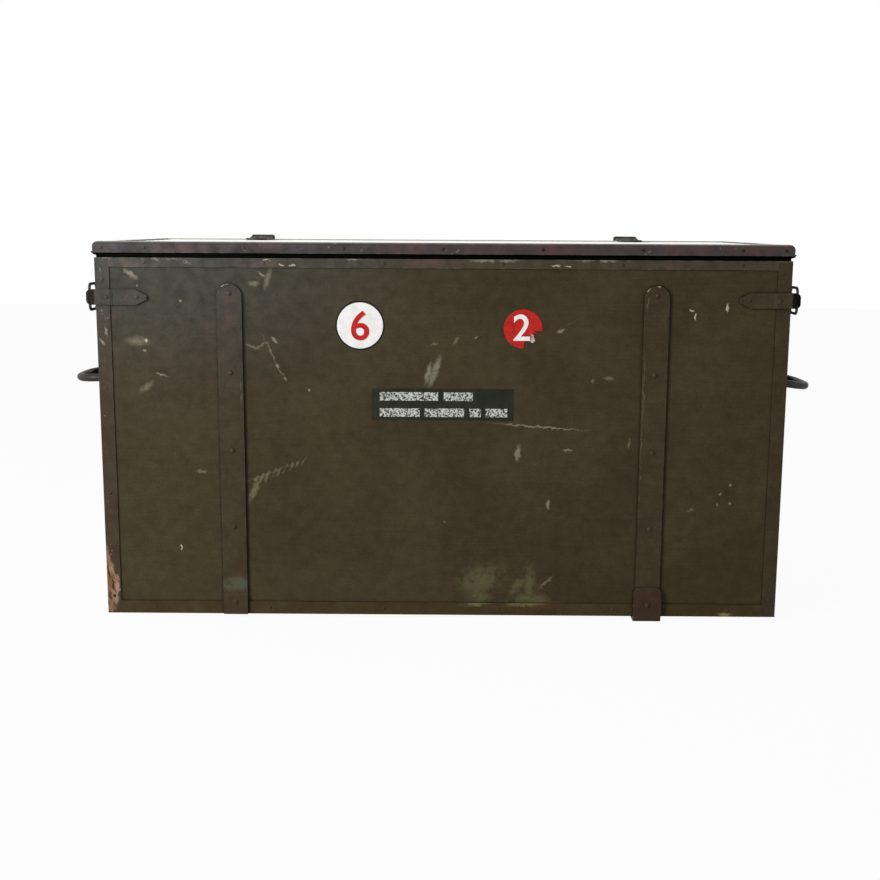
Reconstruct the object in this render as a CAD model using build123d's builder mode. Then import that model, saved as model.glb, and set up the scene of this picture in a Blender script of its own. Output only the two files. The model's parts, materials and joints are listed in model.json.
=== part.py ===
from build123d import *
import os
from math import cos, radians, sin

# A steel-edged plywood army trunk: a box of five boards held by steel angles, two flat-bar straps
# that run into runners under the floor, two strap hinges on the far side, a bail handle on each
# end and a tie ring in a rolled eye at each upper corner. Millimetres, Z up, the trunk's long
# front at -Y, the origin on the ground under the middle of the whole trunk.

# Body, measured over its steel edges
body_length = 840.0
body_depth = 340.0
body_height = 444.0
panel_thickness = 12.0
floor_thickness = 12.0

# Steel edge angles of the body
angle_thickness = 1.2
corner_angle_leg = 17.0
top_angle_leg = 11.0
floor_angle_leg = 16.0
angle_gap = 0.2

# Straps, runners and the step where a flat bar climbs onto an edge angle
strap_spacing = 517.0
strap_width = 30.0
strap_thickness = 3.0
strap_end_margin = 11.5
strap_top_drop = 30.5
strap_step_clearance = 7.0
round_end_flat = 0.02
joggle_length = 4.0
runner_width = 34.0
runner_thickness = 6.0
runner_end_thickness = 3.0
runner_end_flat = 11.0
runner_end_radius = 8.0
runner_heel_radius = 5.0
runner_edge_radius = 4.0
runner_break = 22.0

# Rivets and screws
rivet_first = 16.4
rivet_count = 5
rivet_head_radius = 3.2
rivet_head_height = 1.8
rivet_shank_radius = 1.9
rivet_burr_height = 1.2
shank_clearance = 0.1
dome_angle = 45.0
screw_head_radius = 5.0
screw_head_depth = 3.0
screw_shank_radius = 2.2
runner_screw_count = 3
runner_screw_reach = 120.0
runner_screw_length = 16.0

# Nails through the edge angles and the lid's rims
nail_head_radius = 2.2
nail_head_height = 0.7
nail_shank_radius = 0.9
nail_length = 9.0
face_nail_count = 4
face_nail_foot = 22.0
face_nail_drop = 26.0
end_nail_count = 3
end_nail_foot = 55.0
end_nail_drop = 125.0
edge_nail_margin = 60.0
long_nail_count = 6
short_nail_count = 3
lid_long_nail_count = 7
lid_long_nail_margin = 62.5
lid_short_nail_count = 3
lid_short_nail_margin = 31.0
lid_corner_nail_margin = 10.5

# Lid
lid_gap = 6.0
lid_board_thickness = 12.0
rim_thickness = 1.5
rim_bend_radius = 6.0
rim_cover = 20.0
lid_overhang = 1.5
lid_back_recess = 0.5
seal_inset = 2.0
seal_width = 12.0
seal_clearance = 0.3
batten_clearance = 2.0
batten_width = 20.0
batten_drop = 14.0
batten_screw_count = 4
batten_screw_margin = 120.0
side_batten_screw_count = 2
side_batten_screw_margin = 65.0
batten_screw_bite = 8.0

# Hinges
hinge_spacing = 532.0
knuckle_radius = 5.0
hinge_rise = 1.0
hinge_pin_radius = 2.45
pin_clearance = 0.05
hinge_play = 0.3
lid_knuckle_length = 10.0
leaf_thickness = 3.0
leaf_play = 0.6
leaf_length = 74.0
leaf_rivet_margin = 14.0
stop_angle = 105.0
stop_reach = 14.0
stop_clearance = 0.2
pin_head_radius = 4.0
pin_head_height = 1.5

# Corner straps with their rolled eyes, and the tie rings
corner_strap_height = 18.5
corner_strap_thickness = 2.5
corner_strap_front = 62.0
corner_strap_side = 45.0
corner_strap_drop = 47.5
corner_strap_taper = 14.0
corner_strap_tip_height = 5.0
corner_strap_tail_round = 6.5
corner_screw_near = 13.5
corner_screw_pitch = 36.8
corner_screw_side = 34.0
corner_screw_radius = 2.6
corner_screw_dome = 1.2
corner_screw_shank = 1.6
corner_screw_length = 12.0
eye_offset = 7.5
eye_clearance = 0.3
eye_end_round = 2.0
eye_outline_round = 7.0
ring_wire_radius = 1.7
ring_height = 31.0
ring_reach = 31.0
ring_near_bend = 5.0
ring_far_bend = 9.0

# Bail handles on their stop plates; each droops a little below level, as it was left
handle_level = 286.0
handle_width = 110.0
handle_reach = 66.0
handle_droop = {"left": 4.0, "right": 10.0}
handle_radius = 5.0
handle_bend = 40.0
handle_heel_bend = 7.0
handle_stub_overrun = 2.0
handle_clearance = 0.3
lug_wall = 2.7
lug_length = 9.0
lug_bend_room = 0.5
lug_standoff = 2.0
handle_plate_thickness = 2.5
handle_plate_margin = 5.0
handle_plate_height = 56.0
handle_plate_corner = 6.0
stop_ear_width = 9.0
stop_ear_reach = 17.0
stop_ear_thickness = 2.5
handle_rivet_across = 50.0
handle_rivet_up = 40.0

# Cuts reach this many times as far as what they cut
overcut = 2.0

# Derived levels
body_bottom = runner_thickness
body_top = body_bottom + body_height
lid_bottom = body_top + lid_gap
lid_top = lid_bottom + lid_board_thickness + rim_thickness
half_length = body_length / 2

# The trunk reaches further back, at the hinges' stops, than forward, at the runners' rivets
front_reach = strap_thickness + runner_end_thickness + rivet_head_height
back_reach = knuckle_radius + stop_reach
middle_y = (front_reach - back_reach) / 2
front_y = middle_y - body_depth / 2
back_y = middle_y + body_depth / 2
wall_inset = angle_thickness + panel_thickness
hinge_y = back_y + knuckle_radius
hinge_z = lid_top + hinge_rise

# The plan outline of the body's steel faces and of the lid: half length, front, back
body_outline = (half_length, front_y, back_y)
panel_outline = (half_length - angle_thickness, front_y + angle_thickness, back_y - angle_thickness)
lid_outline = (half_length + lid_overhang, front_y - lid_overhang, back_y - lid_back_recess)

ends = {"left": -1, "right": 1}
faces = {"front": -1, "back": 1}
sides = ("front", "right", "back", "left")

os.makedirs("parts", exist_ok=True)


def keep(piece, label):
    """Label a finished piece and write it as its own file."""
    piece.part.label = label
    export_step(piece.part, f"parts/{label}.step")


def shrink(outline, inset):
    """The outline moved inwards by inset on all four sides."""
    half, front, back = outline
    return (half - inset, front + inset, back - inset)


def corners(outline):
    """The four plan corners of an outline, anticlockwise from the front left."""
    half, front, back = outline
    return [(-half, front), (half, front), (half, back), (-half, back)]


def mitred_strip(outline, width, side):
    """The plan of one side of a frame whose corners are cut at 45 degrees."""
    outer = corners(outline)
    inner = corners(shrink(outline, width))
    start = sides.index(side)
    end = (start + 1) % len(sides)
    return [outer[start], outer[end], inner[end], inner[start]]


def straight_strip(outline, width, trim, side):
    """The plan of a bar along one side of an outline, cut short by trim at both ends."""
    half, front, back = outline
    along = {
        "front": ((trim - half, front), (half - trim, front + width)),
        "back": ((trim - half, back - width), (half - trim, back)),
        "right": ((half - width, front + trim), (half, back - trim)),
        "left": ((-half, front + trim), (width - half, back - trim)),
    }
    (x0, y0), (x1, y1) = along[side]
    return [(x0, y0), (x1, y0), (x1, y1), (x0, y1)]


def slab(points, level, height, mode=Mode.ADD):
    """A flat slab of the plan given by points, from level upwards, in the current part."""
    with BuildSketch(Plane.XY.offset(level), mode=Mode.PRIVATE) as plan:
        Polygon(*points, align=None)
    extrude(plan.sketch, amount=height, mode=mode)


def drill(plane, points, radius, reach):
    """Round holes through the current part, square to the plane, at the points."""
    with BuildSketch(plane, mode=Mode.PRIVATE) as holes:
        with Locations(*points):
            Circle(radius)
    extrude(holes.sketch, amount=reach, both=True, mode=Mode.SUBTRACT)


def bar_profile(face, outward, inner, thickness):
    """Side view of a bent flat bar: inner holds (stand-off, height) pairs along its inner face."""
    near = [(face + outward * off, height) for off, height in inner]
    far = [(face + outward * (off + thickness), height) for off, height in inner]
    return near + far[::-1]


def evenly(count, low, high):
    """Evenly spaced positions from low to high."""
    return [low + i * (high - low) / (count - 1) for i in range(count)]


def dome_middle(radius, height):
    """A point half way along the side view of a low domed head."""
    return (radius * cos(radians(dome_angle)), height * sin(radians(dome_angle)))


# Through rivets: a domed head outside, a shank and a flat burr inside
def rivet_template(grip):
    with BuildPart() as template:
        with BuildSketch(Plane.XZ):
            with BuildLine():
                head_top = (0, rivet_head_height)
                head_edge = (rivet_head_radius, 0)
                ThreePointArc(head_top, dome_middle(rivet_head_radius, rivet_head_height), head_edge)
                Polyline(
                    head_edge,
                    (rivet_shank_radius, 0),
                    (rivet_shank_radius, -grip),
                    (rivet_head_radius, -grip),
                    (rivet_head_radius, -grip - rivet_burr_height),
                    (0, -grip - rivet_burr_height),
                    head_top,
                )
            make_face()
        revolve(axis=Axis.Z)
    return template.part


# Blind fasteners: a domed head and a plain shank
def pin_template(head_radius, head_height, shank_radius, length):
    with BuildPart() as template:
        with BuildSketch(Plane.XZ):
            with BuildLine():
                head_top = (0, head_height)
                head_edge = (head_radius, 0)
                ThreePointArc(head_top, dome_middle(head_radius, head_height), head_edge)
                Polyline(head_edge, (shank_radius, 0), (shank_radius, -length), (0, -length), head_top)
            make_face()
        revolve(axis=Axis.Z)
    return template.part


# Countersunk screws, flush with the face that they hold
def countersunk_template(length):
    with BuildPart() as template:
        with BuildSketch(Plane.XZ):
            with BuildLine():
                Polyline(
                    (0, 0),
                    (screw_head_radius, 0),
                    (screw_shank_radius, -screw_head_depth),
                    (screw_shank_radius, -length),
                    (0, -length),
                    close=True,
                )
            make_face()
        revolve(axis=Axis.Z)
    return template.part


def outward_plane(side, distance):
    """A plane on one side of the trunk, facing outwards, distance from the origin along it."""
    planes = {
        "front": Plane(origin=(0, distance, 0), x_dir=(1, 0, 0), z_dir=(0, -1, 0)),
        "back": Plane(origin=(0, distance, 0), x_dir=(-1, 0, 0), z_dir=(0, 1, 0)),
        "right": Plane(origin=(distance, 0, 0), x_dir=(0, 1, 0), z_dir=(1, 0, 0)),
        "left": Plane(origin=(distance, 0, 0), x_dir=(0, -1, 0), z_dir=(-1, 0, 0)),
    }
    return planes[side]


def set_fasteners(template, seats):
    """Copies of a fastener in the current part: seats holds (plane, points on that plane)."""
    for plane, points in seats:
        with Locations(plane):
            with Locations(*points):
                add(template)


# Places of the through rivets
strap_top = body_top - strap_top_drop
rivet_levels = evenly(rivet_count, body_bottom + rivet_first, strap_top - strap_end_margin)
hinge_rivet_levels = rivet_levels[1:]
strap_places = {end: sign * strap_spacing / 2 for end, sign in ends.items()}
hinge_places = {end: sign * hinge_spacing / 2 for end, sign in ends.items()}
handle_z = body_bottom + handle_level
handle_rivet_points = [
    (middle_y + across * handle_rivet_across / 2, handle_z + up * handle_rivet_up / 2)
    for across in (-1, 1)
    for up in (-1, 1)
]
shank_hole = rivet_shank_radius + shank_clearance
front_wall = Plane.XZ.offset(-front_y)
back_wall = Plane.XZ.offset(-back_y)
wall_cut = overcut * wall_inset
bar_cut = overcut * strap_thickness

# Front and back boards, over the whole length
panel_bottom = body_bottom + angle_thickness
panel_height = body_height - 2 * angle_thickness

with BuildPart() as front_panel:
    slab(straight_strip(panel_outline, panel_thickness, 0, "front"), panel_bottom, panel_height)
    for place in strap_places.values():
        drill(front_wall, [(place, z) for z in rivet_levels], shank_hole, wall_cut)
keep(front_panel, "front_panel")

with BuildPart() as back_panel:
    slab(straight_strip(panel_outline, panel_thickness, 0, "back"), panel_bottom, panel_height)
    for end, place in hinge_places.items():
        drill(back_wall, [(place, z) for z in hinge_rivet_levels], shank_hole, wall_cut)
        drill(back_wall, [(strap_places[end], rivet_levels[0])], shank_hole, wall_cut)
keep(back_panel, "back_panel")

# End boards, between the front and back boards
for end, sign in ends.items():
    with BuildPart() as end_panel:
        plan = straight_strip(panel_outline, panel_thickness, panel_thickness, end)
        slab(plan, panel_bottom, panel_height)
        drill(Plane.YZ.offset(sign * half_length), handle_rivet_points, shank_hole, wall_cut)
    keep(end_panel, f"{end}_end_panel")

# Floor board, inside the four walls, with room for the lowest rivets' burrs
burr_hole = rivet_head_radius + shank_clearance
with BuildPart() as floor_board:
    slab(corners(shrink(body_outline, wall_inset)), panel_bottom, floor_thickness)
    for place in strap_places.values():
        for wall, inward in ((front_y + wall_inset, 1), (back_y - wall_inset, -1)):
            with BuildSketch(Plane.XZ.offset(-wall)):
                with Locations((place, rivet_levels[0])):
                    Circle(burr_hole)
            extrude(amount=-inward * overcut * rivet_burr_height, mode=Mode.SUBTRACT)
keep(floor_board, "floor_board")

# Upright corner angles
for end, sign in ends.items():
    for face, facing in faces.items():
        corner_x = sign * half_length
        corner_y = front_y if face == "front" else back_y
        leg = corner_angle_leg
        skin = angle_thickness
        section = [(0, 0), (leg, 0), (leg, skin), (skin, skin), (skin, leg), (0, leg)]
        plan = [(corner_x - sign * u, corner_y - facing * v) for u, v in section]
        with BuildPart() as corner_angle:
            slab(plan, panel_bottom, panel_height)
        keep(corner_angle, f"corner_angle_{face}_{end}")

# Top and floor angles, with mitred flat legs and upright legs between the corner angles
corner_trim = corner_angle_leg + angle_gap
for side in sides:
    with BuildPart() as top_angle:
        slab(mitred_strip(body_outline, wall_inset, side), body_top - angle_thickness, angle_thickness)
        slab(
            straight_strip(body_outline, angle_thickness, corner_trim, side),
            body_top - top_angle_leg,
            top_angle_leg - angle_thickness,
        )
    keep(top_angle, f"top_angle_{side}")
    with BuildPart() as floor_angle:
        slab(mitred_strip(body_outline, floor_angle_leg, side), body_bottom, angle_thickness)
        slab(
            straight_strip(body_outline, angle_thickness, corner_trim, side),
            panel_bottom,
            floor_angle_leg - angle_thickness,
        )
        if side in faces:
            wall = front_wall if side == "front" else back_wall
            points = [(place, rivet_levels[0]) for place in strap_places.values()]
            drill(wall, points, shank_hole, overcut * angle_thickness)
    keep(floor_angle, f"floor_angle_{side}")

# Front straps: flat bar, half round at the top, stepped over the floor angle
floor_step = body_bottom + floor_angle_leg + strap_step_clearance
front_panel_y = front_y + angle_thickness
back_panel_y = back_y - angle_thickness
strap_line = [
    (angle_thickness, body_bottom),
    (angle_thickness, floor_step),
    (0, floor_step + joggle_length),
    (0, strap_top),
]
strap_round = (strap_width - round_end_flat) / 2
for end, place in strap_places.items():
    with BuildPart() as front_strap:
        with BuildSketch(Plane.YZ.offset(place - strap_width / 2)):
            Polygon(*bar_profile(front_panel_y, -1, strap_line, strap_thickness), align=None)
        extrude(amount=strap_width)
        fillet(front_strap.edges().filter_by(Axis.Y).group_by(Axis.Z)[-1], strap_round)
        drill(front_wall, [(place, z) for z in rivet_levels], shank_hole, bar_cut)
    keep(front_strap, f"front_strap_{end}")

# Runners: a bar under the floor whose thinned ends turn up over the front strap and the back
# board. The left one has lost its turned-up front end, and stops short behind the front edge.
runner_front = front_y - strap_thickness
runner_end_top = floor_step + joggle_length + runner_end_flat
runner_end_line = [(angle_thickness, floor_step), (0, floor_step + joggle_length), (0, runner_end_top)]
front_end = bar_profile(runner_front + angle_thickness, -1, runner_end_line, runner_end_thickness)
back_end = bar_profile(back_panel_y, 1, runner_end_line, runner_end_thickness)
runner_fronts = {
    "left": [(front_y + runner_break, 0), (front_y + runner_break, body_bottom)],
    "right": [(runner_front - runner_end_thickness, 0)] + front_end[::-1] + [(runner_front, body_bottom)],
}
runner_back_outline = [(back_y, body_bottom)] + back_end + [(back_y + runner_end_thickness, 0)]
runner_screw_places = evenly(runner_screw_count, -runner_screw_reach, runner_screw_reach)
for end, place in strap_places.items():
    with BuildPart() as runner:
        with BuildSketch(Plane.YZ.offset(place - runner_width / 2)):
            Polygon(*runner_fronts[end], *runner_back_outline, align=None)
        extrude(amount=runner_width)
        fillet(runner.edges().filter_by(Axis.Y).group_by(Axis.Z)[-1], runner_end_radius)
        heels = runner.edges().filter_by(Axis.X).group_by(Axis.Z)[0]
        fillet(heels if end == "right" else heels.sort_by(Axis.Y)[-1], runner_heel_radius)
        drill(Plane.XZ.offset(-middle_y), [(place, rivet_levels[0])], shank_hole, body_depth)
        with Locations(Plane(origin=(place, middle_y, 0), x_dir=(1, 0, 0), z_dir=(0, 0, -1))):
            with Locations(*[(0, y) for y in runner_screw_places]):
                CounterSinkHole(
                    radius=screw_shank_radius + shank_clearance,
                    counter_sink_radius=screw_head_radius + shank_clearance,
                    depth=overcut * runner_thickness,
                )
    keep(runner, f"runner_{end}")

# Hinge straps on the back: half round at the foot, rolled into two knuckles at the head
top_step = body_top - top_angle_leg - angle_gap
hinge_strap_line = [
    (0, hinge_rivet_levels[0] - strap_end_margin),
    (0, top_step - joggle_length),
    (angle_thickness, top_step),
    (angle_thickness, hinge_z),
]
knuckle_gap = lid_knuckle_length + 2 * hinge_play
bore_radius = hinge_pin_radius + pin_clearance
for end, place in hinge_places.items():
    with BuildPart() as hinge_strap:
        with BuildSketch(Plane.YZ.offset(place - strap_width / 2)):
            Polygon(*bar_profile(back_panel_y, 1, hinge_strap_line, strap_thickness), align=None)
            with Locations((hinge_y, hinge_z)):
                Circle(knuckle_radius)
        extrude(amount=strap_width)
        with BuildSketch(Plane.YZ.offset(place - strap_width)):
            with Locations((hinge_y, hinge_z)):
                Circle(bore_radius)
        extrude(amount=overcut * strap_width, mode=Mode.SUBTRACT)
        with BuildSketch(Plane.YZ.offset(place - knuckle_gap / 2)):
            with Locations((hinge_y, hinge_z)):
                Rectangle(overcut * 2 * knuckle_radius, 2 * (knuckle_radius + hinge_play))
        extrude(amount=knuckle_gap, mode=Mode.SUBTRACT)
        fillet(hinge_strap.edges().filter_by(Axis.Y).group_by(Axis.Z)[0], strap_round)
        drill(back_wall, [(place, z) for z in hinge_rivet_levels], shank_hole, bar_cut)
    keep(hinge_strap, f"hinge_strap_{end}")

# Lid leaves of the hinges: flat bar stepped down off the rim onto the lid board, with one knuckle
# and a tail behind it that meets the hinge strap when the lid is fully open
leaf_start = hinge_y - knuckle_radius - leaf_play
leaf_end = leaf_start - leaf_length
rim_edge = lid_outline[2] - rim_cover - angle_gap
leaf_line = [
    (leaf_start, lid_top),
    (rim_edge, lid_top),
    (rim_edge - joggle_length, lid_top - rim_thickness),
    (leaf_end, lid_top - rim_thickness),
]
leaf_outline = leaf_line + [(y, z + leaf_thickness) for y, z in leaf_line[::-1]]
rim_rivet_y = lid_outline[2] - rim_cover / 2
board_rivet_y = leaf_end + leaf_rivet_margin
leaf_rivet_places = [rim_rivet_y, board_rivet_y]
tongue_outline = [
    (leaf_start, lid_top),
    (hinge_y, lid_top),
    (hinge_y, lid_top + leaf_thickness),
    (leaf_start, lid_top + leaf_thickness),
]
tail_turn = radians(stop_angle - 90)
tail_near = knuckle_radius - strap_thickness - stop_clearance
tail_far = tail_near - leaf_thickness
tail_outline = [
    (
        hinge_y + along * cos(tail_turn) + across * sin(tail_turn),
        hinge_z + along * sin(tail_turn) - across * cos(tail_turn),
    )
    for along, across in ((0, tail_near), (stop_reach, tail_near), (stop_reach, tail_far), (0, tail_far))
]
for end, place in hinge_places.items():
    with BuildPart() as hinge_leaf:
        with BuildSketch(Plane.YZ.offset(place - strap_width / 2)):
            Polygon(*leaf_outline, align=None)
        extrude(amount=strap_width)
        fillet(hinge_leaf.edges().filter_by(Axis.Z).group_by(Axis.Y)[0], strap_round)
        with BuildSketch(Plane.YZ.offset(place - lid_knuckle_length / 2)):
            Polygon(*tongue_outline, align=None)
            Polygon(*tail_outline, align=None)
            with Locations((hinge_y, hinge_z)):
                Circle(knuckle_radius)
        extrude(amount=lid_knuckle_length)
        with BuildSketch(Plane.YZ.offset(place - strap_width)):
            with Locations((hinge_y, hinge_z)):
                Circle(bore_radius)
        extrude(amount=overcut * strap_width, mode=Mode.SUBTRACT)
        points = [(place, y) for y in leaf_rivet_places]
        drill(Plane.XY.offset(lid_top), points, shank_hole, overcut * leaf_thickness)
    keep(hinge_leaf, f"hinge_leaf_{end}")

# Hinge pins, with a domed head at each end
for end, place in hinge_places.items():
    pin_reach = strap_width / 2 + hinge_play
    with BuildPart() as hinge_pin:
        with BuildSketch(Plane.YZ.offset(place - pin_reach)):
            with Locations((hinge_y, hinge_z)):
                Circle(hinge_pin_radius)
        extrude(amount=2 * pin_reach)
        for direction in (-1, 1):
            with BuildSketch(Plane.YZ.offset(place + direction * pin_reach)):
                with Locations((hinge_y, hinge_z)):
                    Circle(pin_head_radius)
            extrude(amount=direction * pin_head_height)
    keep(hinge_pin, f"hinge_pin_{end}")

# Lid board, its top edges eased to the bend of the steel rim
board_outline = shrink(lid_outline, rim_thickness)
with BuildPart() as lid_board:
    slab(corners(board_outline), lid_bottom, lid_board_thickness)
    fillet(lid_board.edges().group_by(Axis.Z)[-1], rim_bend_radius - rim_thickness)
    for place in hinge_places.values():
        points = [(place, y) for y in leaf_rivet_places]
        drill(Plane.XY.offset(lid_top), points, shank_hole, overcut * lid_board_thickness)
keep(lid_board, "lid_board")

# Lid rims: four steel angles bent round the lid's edges and mitred at the corners
with BuildPart() as rim_stock:
    slab(corners(lid_outline), lid_bottom, lid_top - lid_bottom)
    fillet(rim_stock.edges().group_by(Axis.Z)[-1], rim_bend_radius)
    slab(corners(shrink(lid_outline, rim_cover)), lid_bottom, overcut * lid_board_thickness, Mode.SUBTRACT)
with BuildPart() as board_stock:
    slab(corners(board_outline), lid_bottom, lid_board_thickness)
    fillet(board_stock.edges().group_by(Axis.Z)[-1], rim_bend_radius - rim_thickness)
for side in sides:
    with BuildPart() as lid_rim:
        add(rim_stock.part)
        add(board_stock.part, mode=Mode.SUBTRACT)
        slab(
            mitred_strip(shrink(lid_outline, -rim_cover), (1 + overcut) * rim_cover, side),
            lid_bottom,
            overcut * lid_board_thickness,
            Mode.INTERSECT,
        )
        if side == "back":
            for place in hinge_places.values():
                drill(Plane.XY.offset(lid_top), [(place, rim_rivet_y)], shank_hole, overcut * rim_thickness)
    keep(lid_rim, f"lid_rim_{side}")

# Dark seal in the gap under the lid, with pockets for the burrs of the rivets above it
seal_outline = shrink(body_outline, seal_inset)
with BuildPart() as lid_seal:
    slab(corners(seal_outline), body_top + seal_clearance, lid_gap - seal_clearance)
    slab(corners(shrink(seal_outline, seal_width)), body_top, overcut * lid_gap, Mode.SUBTRACT)
    seal_pockets = [(place, rim_rivet_y) for place in hinge_places.values()]
    drill(Plane.XY.offset(lid_bottom), seal_pockets, burr_hole, rivet_burr_height + seal_clearance)
keep(lid_seal, "lid_seal")

# Battens under the lid that drop inside the walls and keep it in place
batten_outline = shrink(body_outline, wall_inset + batten_clearance)
batten_height = lid_gap + batten_drop
for side in sides:
    trim = 0 if side in faces else batten_width
    plan = straight_strip(batten_outline, batten_width, trim, side)
    with BuildPart() as lid_batten:
        slab(plan, lid_bottom - batten_height, batten_height)
    keep(lid_batten, f"lid_batten_{side}")

# Corner straps: a pointed bar over the corner, rolled into an eye, its tail on the end wall
eye_bore = ring_wire_radius + eye_clearance
eye_radius = eye_bore + corner_strap_thickness
eye_depth = corner_strap_thickness - eye_radius
ring_level = body_top - corner_strap_drop
strap_low = ring_level - corner_strap_height / 2
corner_step = -corner_angle_leg - angle_gap
front_leg_line = [
    (-corner_strap_front, -angle_thickness),
    (corner_step - joggle_length, -angle_thickness),
    (corner_step, 0),
    (eye_offset, 0),
]
side_leg_line = [
    (0, eye_depth),
    (0, corner_step),
    (-angle_thickness, corner_step - joggle_length),
    (-angle_thickness, -corner_strap_side),
]
neck_line = [
    (0, eye_depth),
    (0, eye_depth - eye_radius - corner_strap_thickness),
    (corner_strap_thickness, eye_depth - eye_radius - corner_strap_thickness),
    (eye_offset, eye_depth - eye_radius),
    (eye_offset - eye_radius, eye_depth),
]
front_leg = front_leg_line + [(u, v + corner_strap_thickness) for u, v in front_leg_line[::-1]]
side_leg = side_leg_line + [(u + corner_strap_thickness, v) for u, v in side_leg_line[::-1]]


def corner_plan(points, sign, facing):
    """Plan points, given as distances outwards past the end wall and past the front or back."""
    face_y = front_y if facing < 0 else back_y
    return [(sign * (half_length + u), face_y + facing * v) for u, v in points]


ring_rise = ring_height / 2
ring_line = [(0, ring_rise), (ring_reach, ring_rise), (ring_reach, -ring_rise), (0, -ring_rise)]
ring_bends = [ring_near_bend, ring_far_bend, ring_far_bend, ring_near_bend]
for end, sign in ends.items():
    for face, facing in faces.items():
        eye_centre = corner_plan([(eye_offset, eye_depth)], sign, facing)[0]
        with BuildPart() as corner_strap:
            with BuildSketch(Plane.XY.offset(strap_low)):
                with Locations(eye_centre):
                    Circle(eye_radius)
            extrude(amount=corner_strap_height)
            fillet(corner_strap.edges().filter_by(GeomType.CIRCLE), eye_end_round)
            with BuildSketch(Plane.XY.offset(strap_low)):
                for outline in (front_leg, side_leg, neck_line):
                    Polygon(*corner_plan(outline, sign, facing), align=None)
            extrude(amount=corner_strap_height)
            with BuildSketch(Plane.XY.offset(strap_low)):
                with Locations(eye_centre):
                    Circle(eye_bore)
            extrude(amount=corner_strap_height, mode=Mode.SUBTRACT)
            eye_end = half_length + eye_offset + eye_radius
            with BuildSketch(front_wall if facing < 0 else back_wall):
                with Locations((0, ring_level)):
                    RectangleRounded(2 * eye_end, corner_strap_height, eye_outline_round)
            extrude(amount=overcut * corner_strap_side, both=True, mode=Mode.INTERSECT)
            tip_x = sign * (half_length - corner_strap_front)
            taper_x = tip_x + sign * corner_strap_taper
            for up in (-1, 1):
                edge_z = ring_level + up * corner_strap_height / 2
                tip_z = ring_level + up * corner_strap_tip_height / 2
                with BuildSketch(front_wall if facing < 0 else back_wall):
                    Polygon((tip_x, tip_z), (taper_x, edge_z), (tip_x, edge_z), align=None)
                extrude(amount=overcut * corner_strap_thickness, both=True, mode=Mode.SUBTRACT)
            tail = corner_strap.edges().filter_by(Axis.X).group_by(Axis.Y)[-1 if facing < 0 else 0]
            fillet(tail, corner_strap_tail_round)
        keep(corner_strap, f"corner_strap_{face}_{end}")

        with BuildPart() as tie_ring:
            ring_origin = (*eye_centre, ring_level)
            with BuildLine(Plane(origin=ring_origin, x_dir=(0, -facing, 0), z_dir=(facing, 0, 0))):
                ring_path = FilletPolyline(*ring_line, radius=ring_bends, close=True)
            with BuildSketch(Plane(origin=ring_path @ 0, z_dir=ring_path % 0)):
                Circle(ring_wire_radius)
            sweep(path=ring_path)
        keep(tie_ring, f"tie_ring_{face}_{end}")

# Handle plates: two rolled lugs for the bail and two ears that stop it level
panel_x = half_length - angle_thickness
grip_x = half_length + handle_reach
handle_plate_width = handle_width + 2 * handle_plate_margin
lug_far = handle_width / 2 - handle_heel_bend - lug_bend_room
lug_near = lug_far - lug_length
lug_bore = handle_radius + handle_clearance
lug_radius = lug_bore + lug_wall
pivot_x = panel_x + lug_standoff + lug_radius
for end, sign in ends.items():
    with BuildPart() as handle_plate:
        with BuildSketch(Plane.YZ.offset(sign * panel_x)):
            with Locations((middle_y, handle_z)):
                RectangleRounded(handle_plate_width, handle_plate_height, handle_plate_corner)
        extrude(amount=sign * handle_plate_thickness)
        for across in (-1, 1):
            lug_start = middle_y + across * lug_near
            with BuildSketch(Plane.XZ.offset(-lug_start)):
                with Locations((sign * pivot_x, handle_z)):
                    Circle(lug_radius)
                with Locations((sign * (panel_x + pivot_x) / 2, handle_z)):
                    Rectangle(pivot_x - panel_x, 2 * lug_radius)
            extrude(amount=-across * lug_length)
            with BuildSketch(Plane.YZ.offset(sign * panel_x)):
                with Locations((
                    middle_y + across * handle_width / 2,
                    handle_z + handle_radius + handle_clearance + stop_ear_thickness / 2,
                )):
                    Rectangle(stop_ear_width, stop_ear_thickness)
            extrude(amount=sign * stop_ear_reach)
        with BuildSketch(Plane.XZ.offset(-middle_y)):
            with Locations((sign * pivot_x, handle_z)):
                Circle(lug_bore)
        extrude(amount=handle_plate_width, both=True, mode=Mode.SUBTRACT)
        plate_cut = overcut * handle_plate_thickness
        drill(Plane.YZ.offset(sign * panel_x), handle_rivet_points, shank_hole, plate_cut)
    keep(handle_plate, f"handle_plate_{end}")

# Bail handles: one bent round bar each, drawn from its pivot outwards
stub = lug_near - handle_stub_overrun
arm = grip_x - pivot_x
half_width = handle_width / 2
bail_points = [(0, -stub), (0, -half_width), (arm, -half_width), (arm, half_width), (0, half_width), (0, stub)]
bail_bends = [handle_heel_bend, handle_bend, handle_bend, handle_heel_bend]
for end, sign in ends.items():
    droop = radians(handle_droop[end])
    bail_plane = Plane(
        origin=(sign * pivot_x, middle_y, handle_z),
        x_dir=(sign * cos(droop), 0, -sin(droop)),
        z_dir=(sign * sin(droop), 0, cos(droop)),
    )
    with BuildPart() as handle:
        with BuildLine(bail_plane):
            bail_path = FilletPolyline(*bail_points, radius=bail_bends)
        with BuildSketch(Plane(origin=bail_path @ 0, z_dir=bail_path % 0)):
            Circle(handle_radius)
        sweep(path=bail_path)
    keep(handle, f"handle_{end}")

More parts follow.
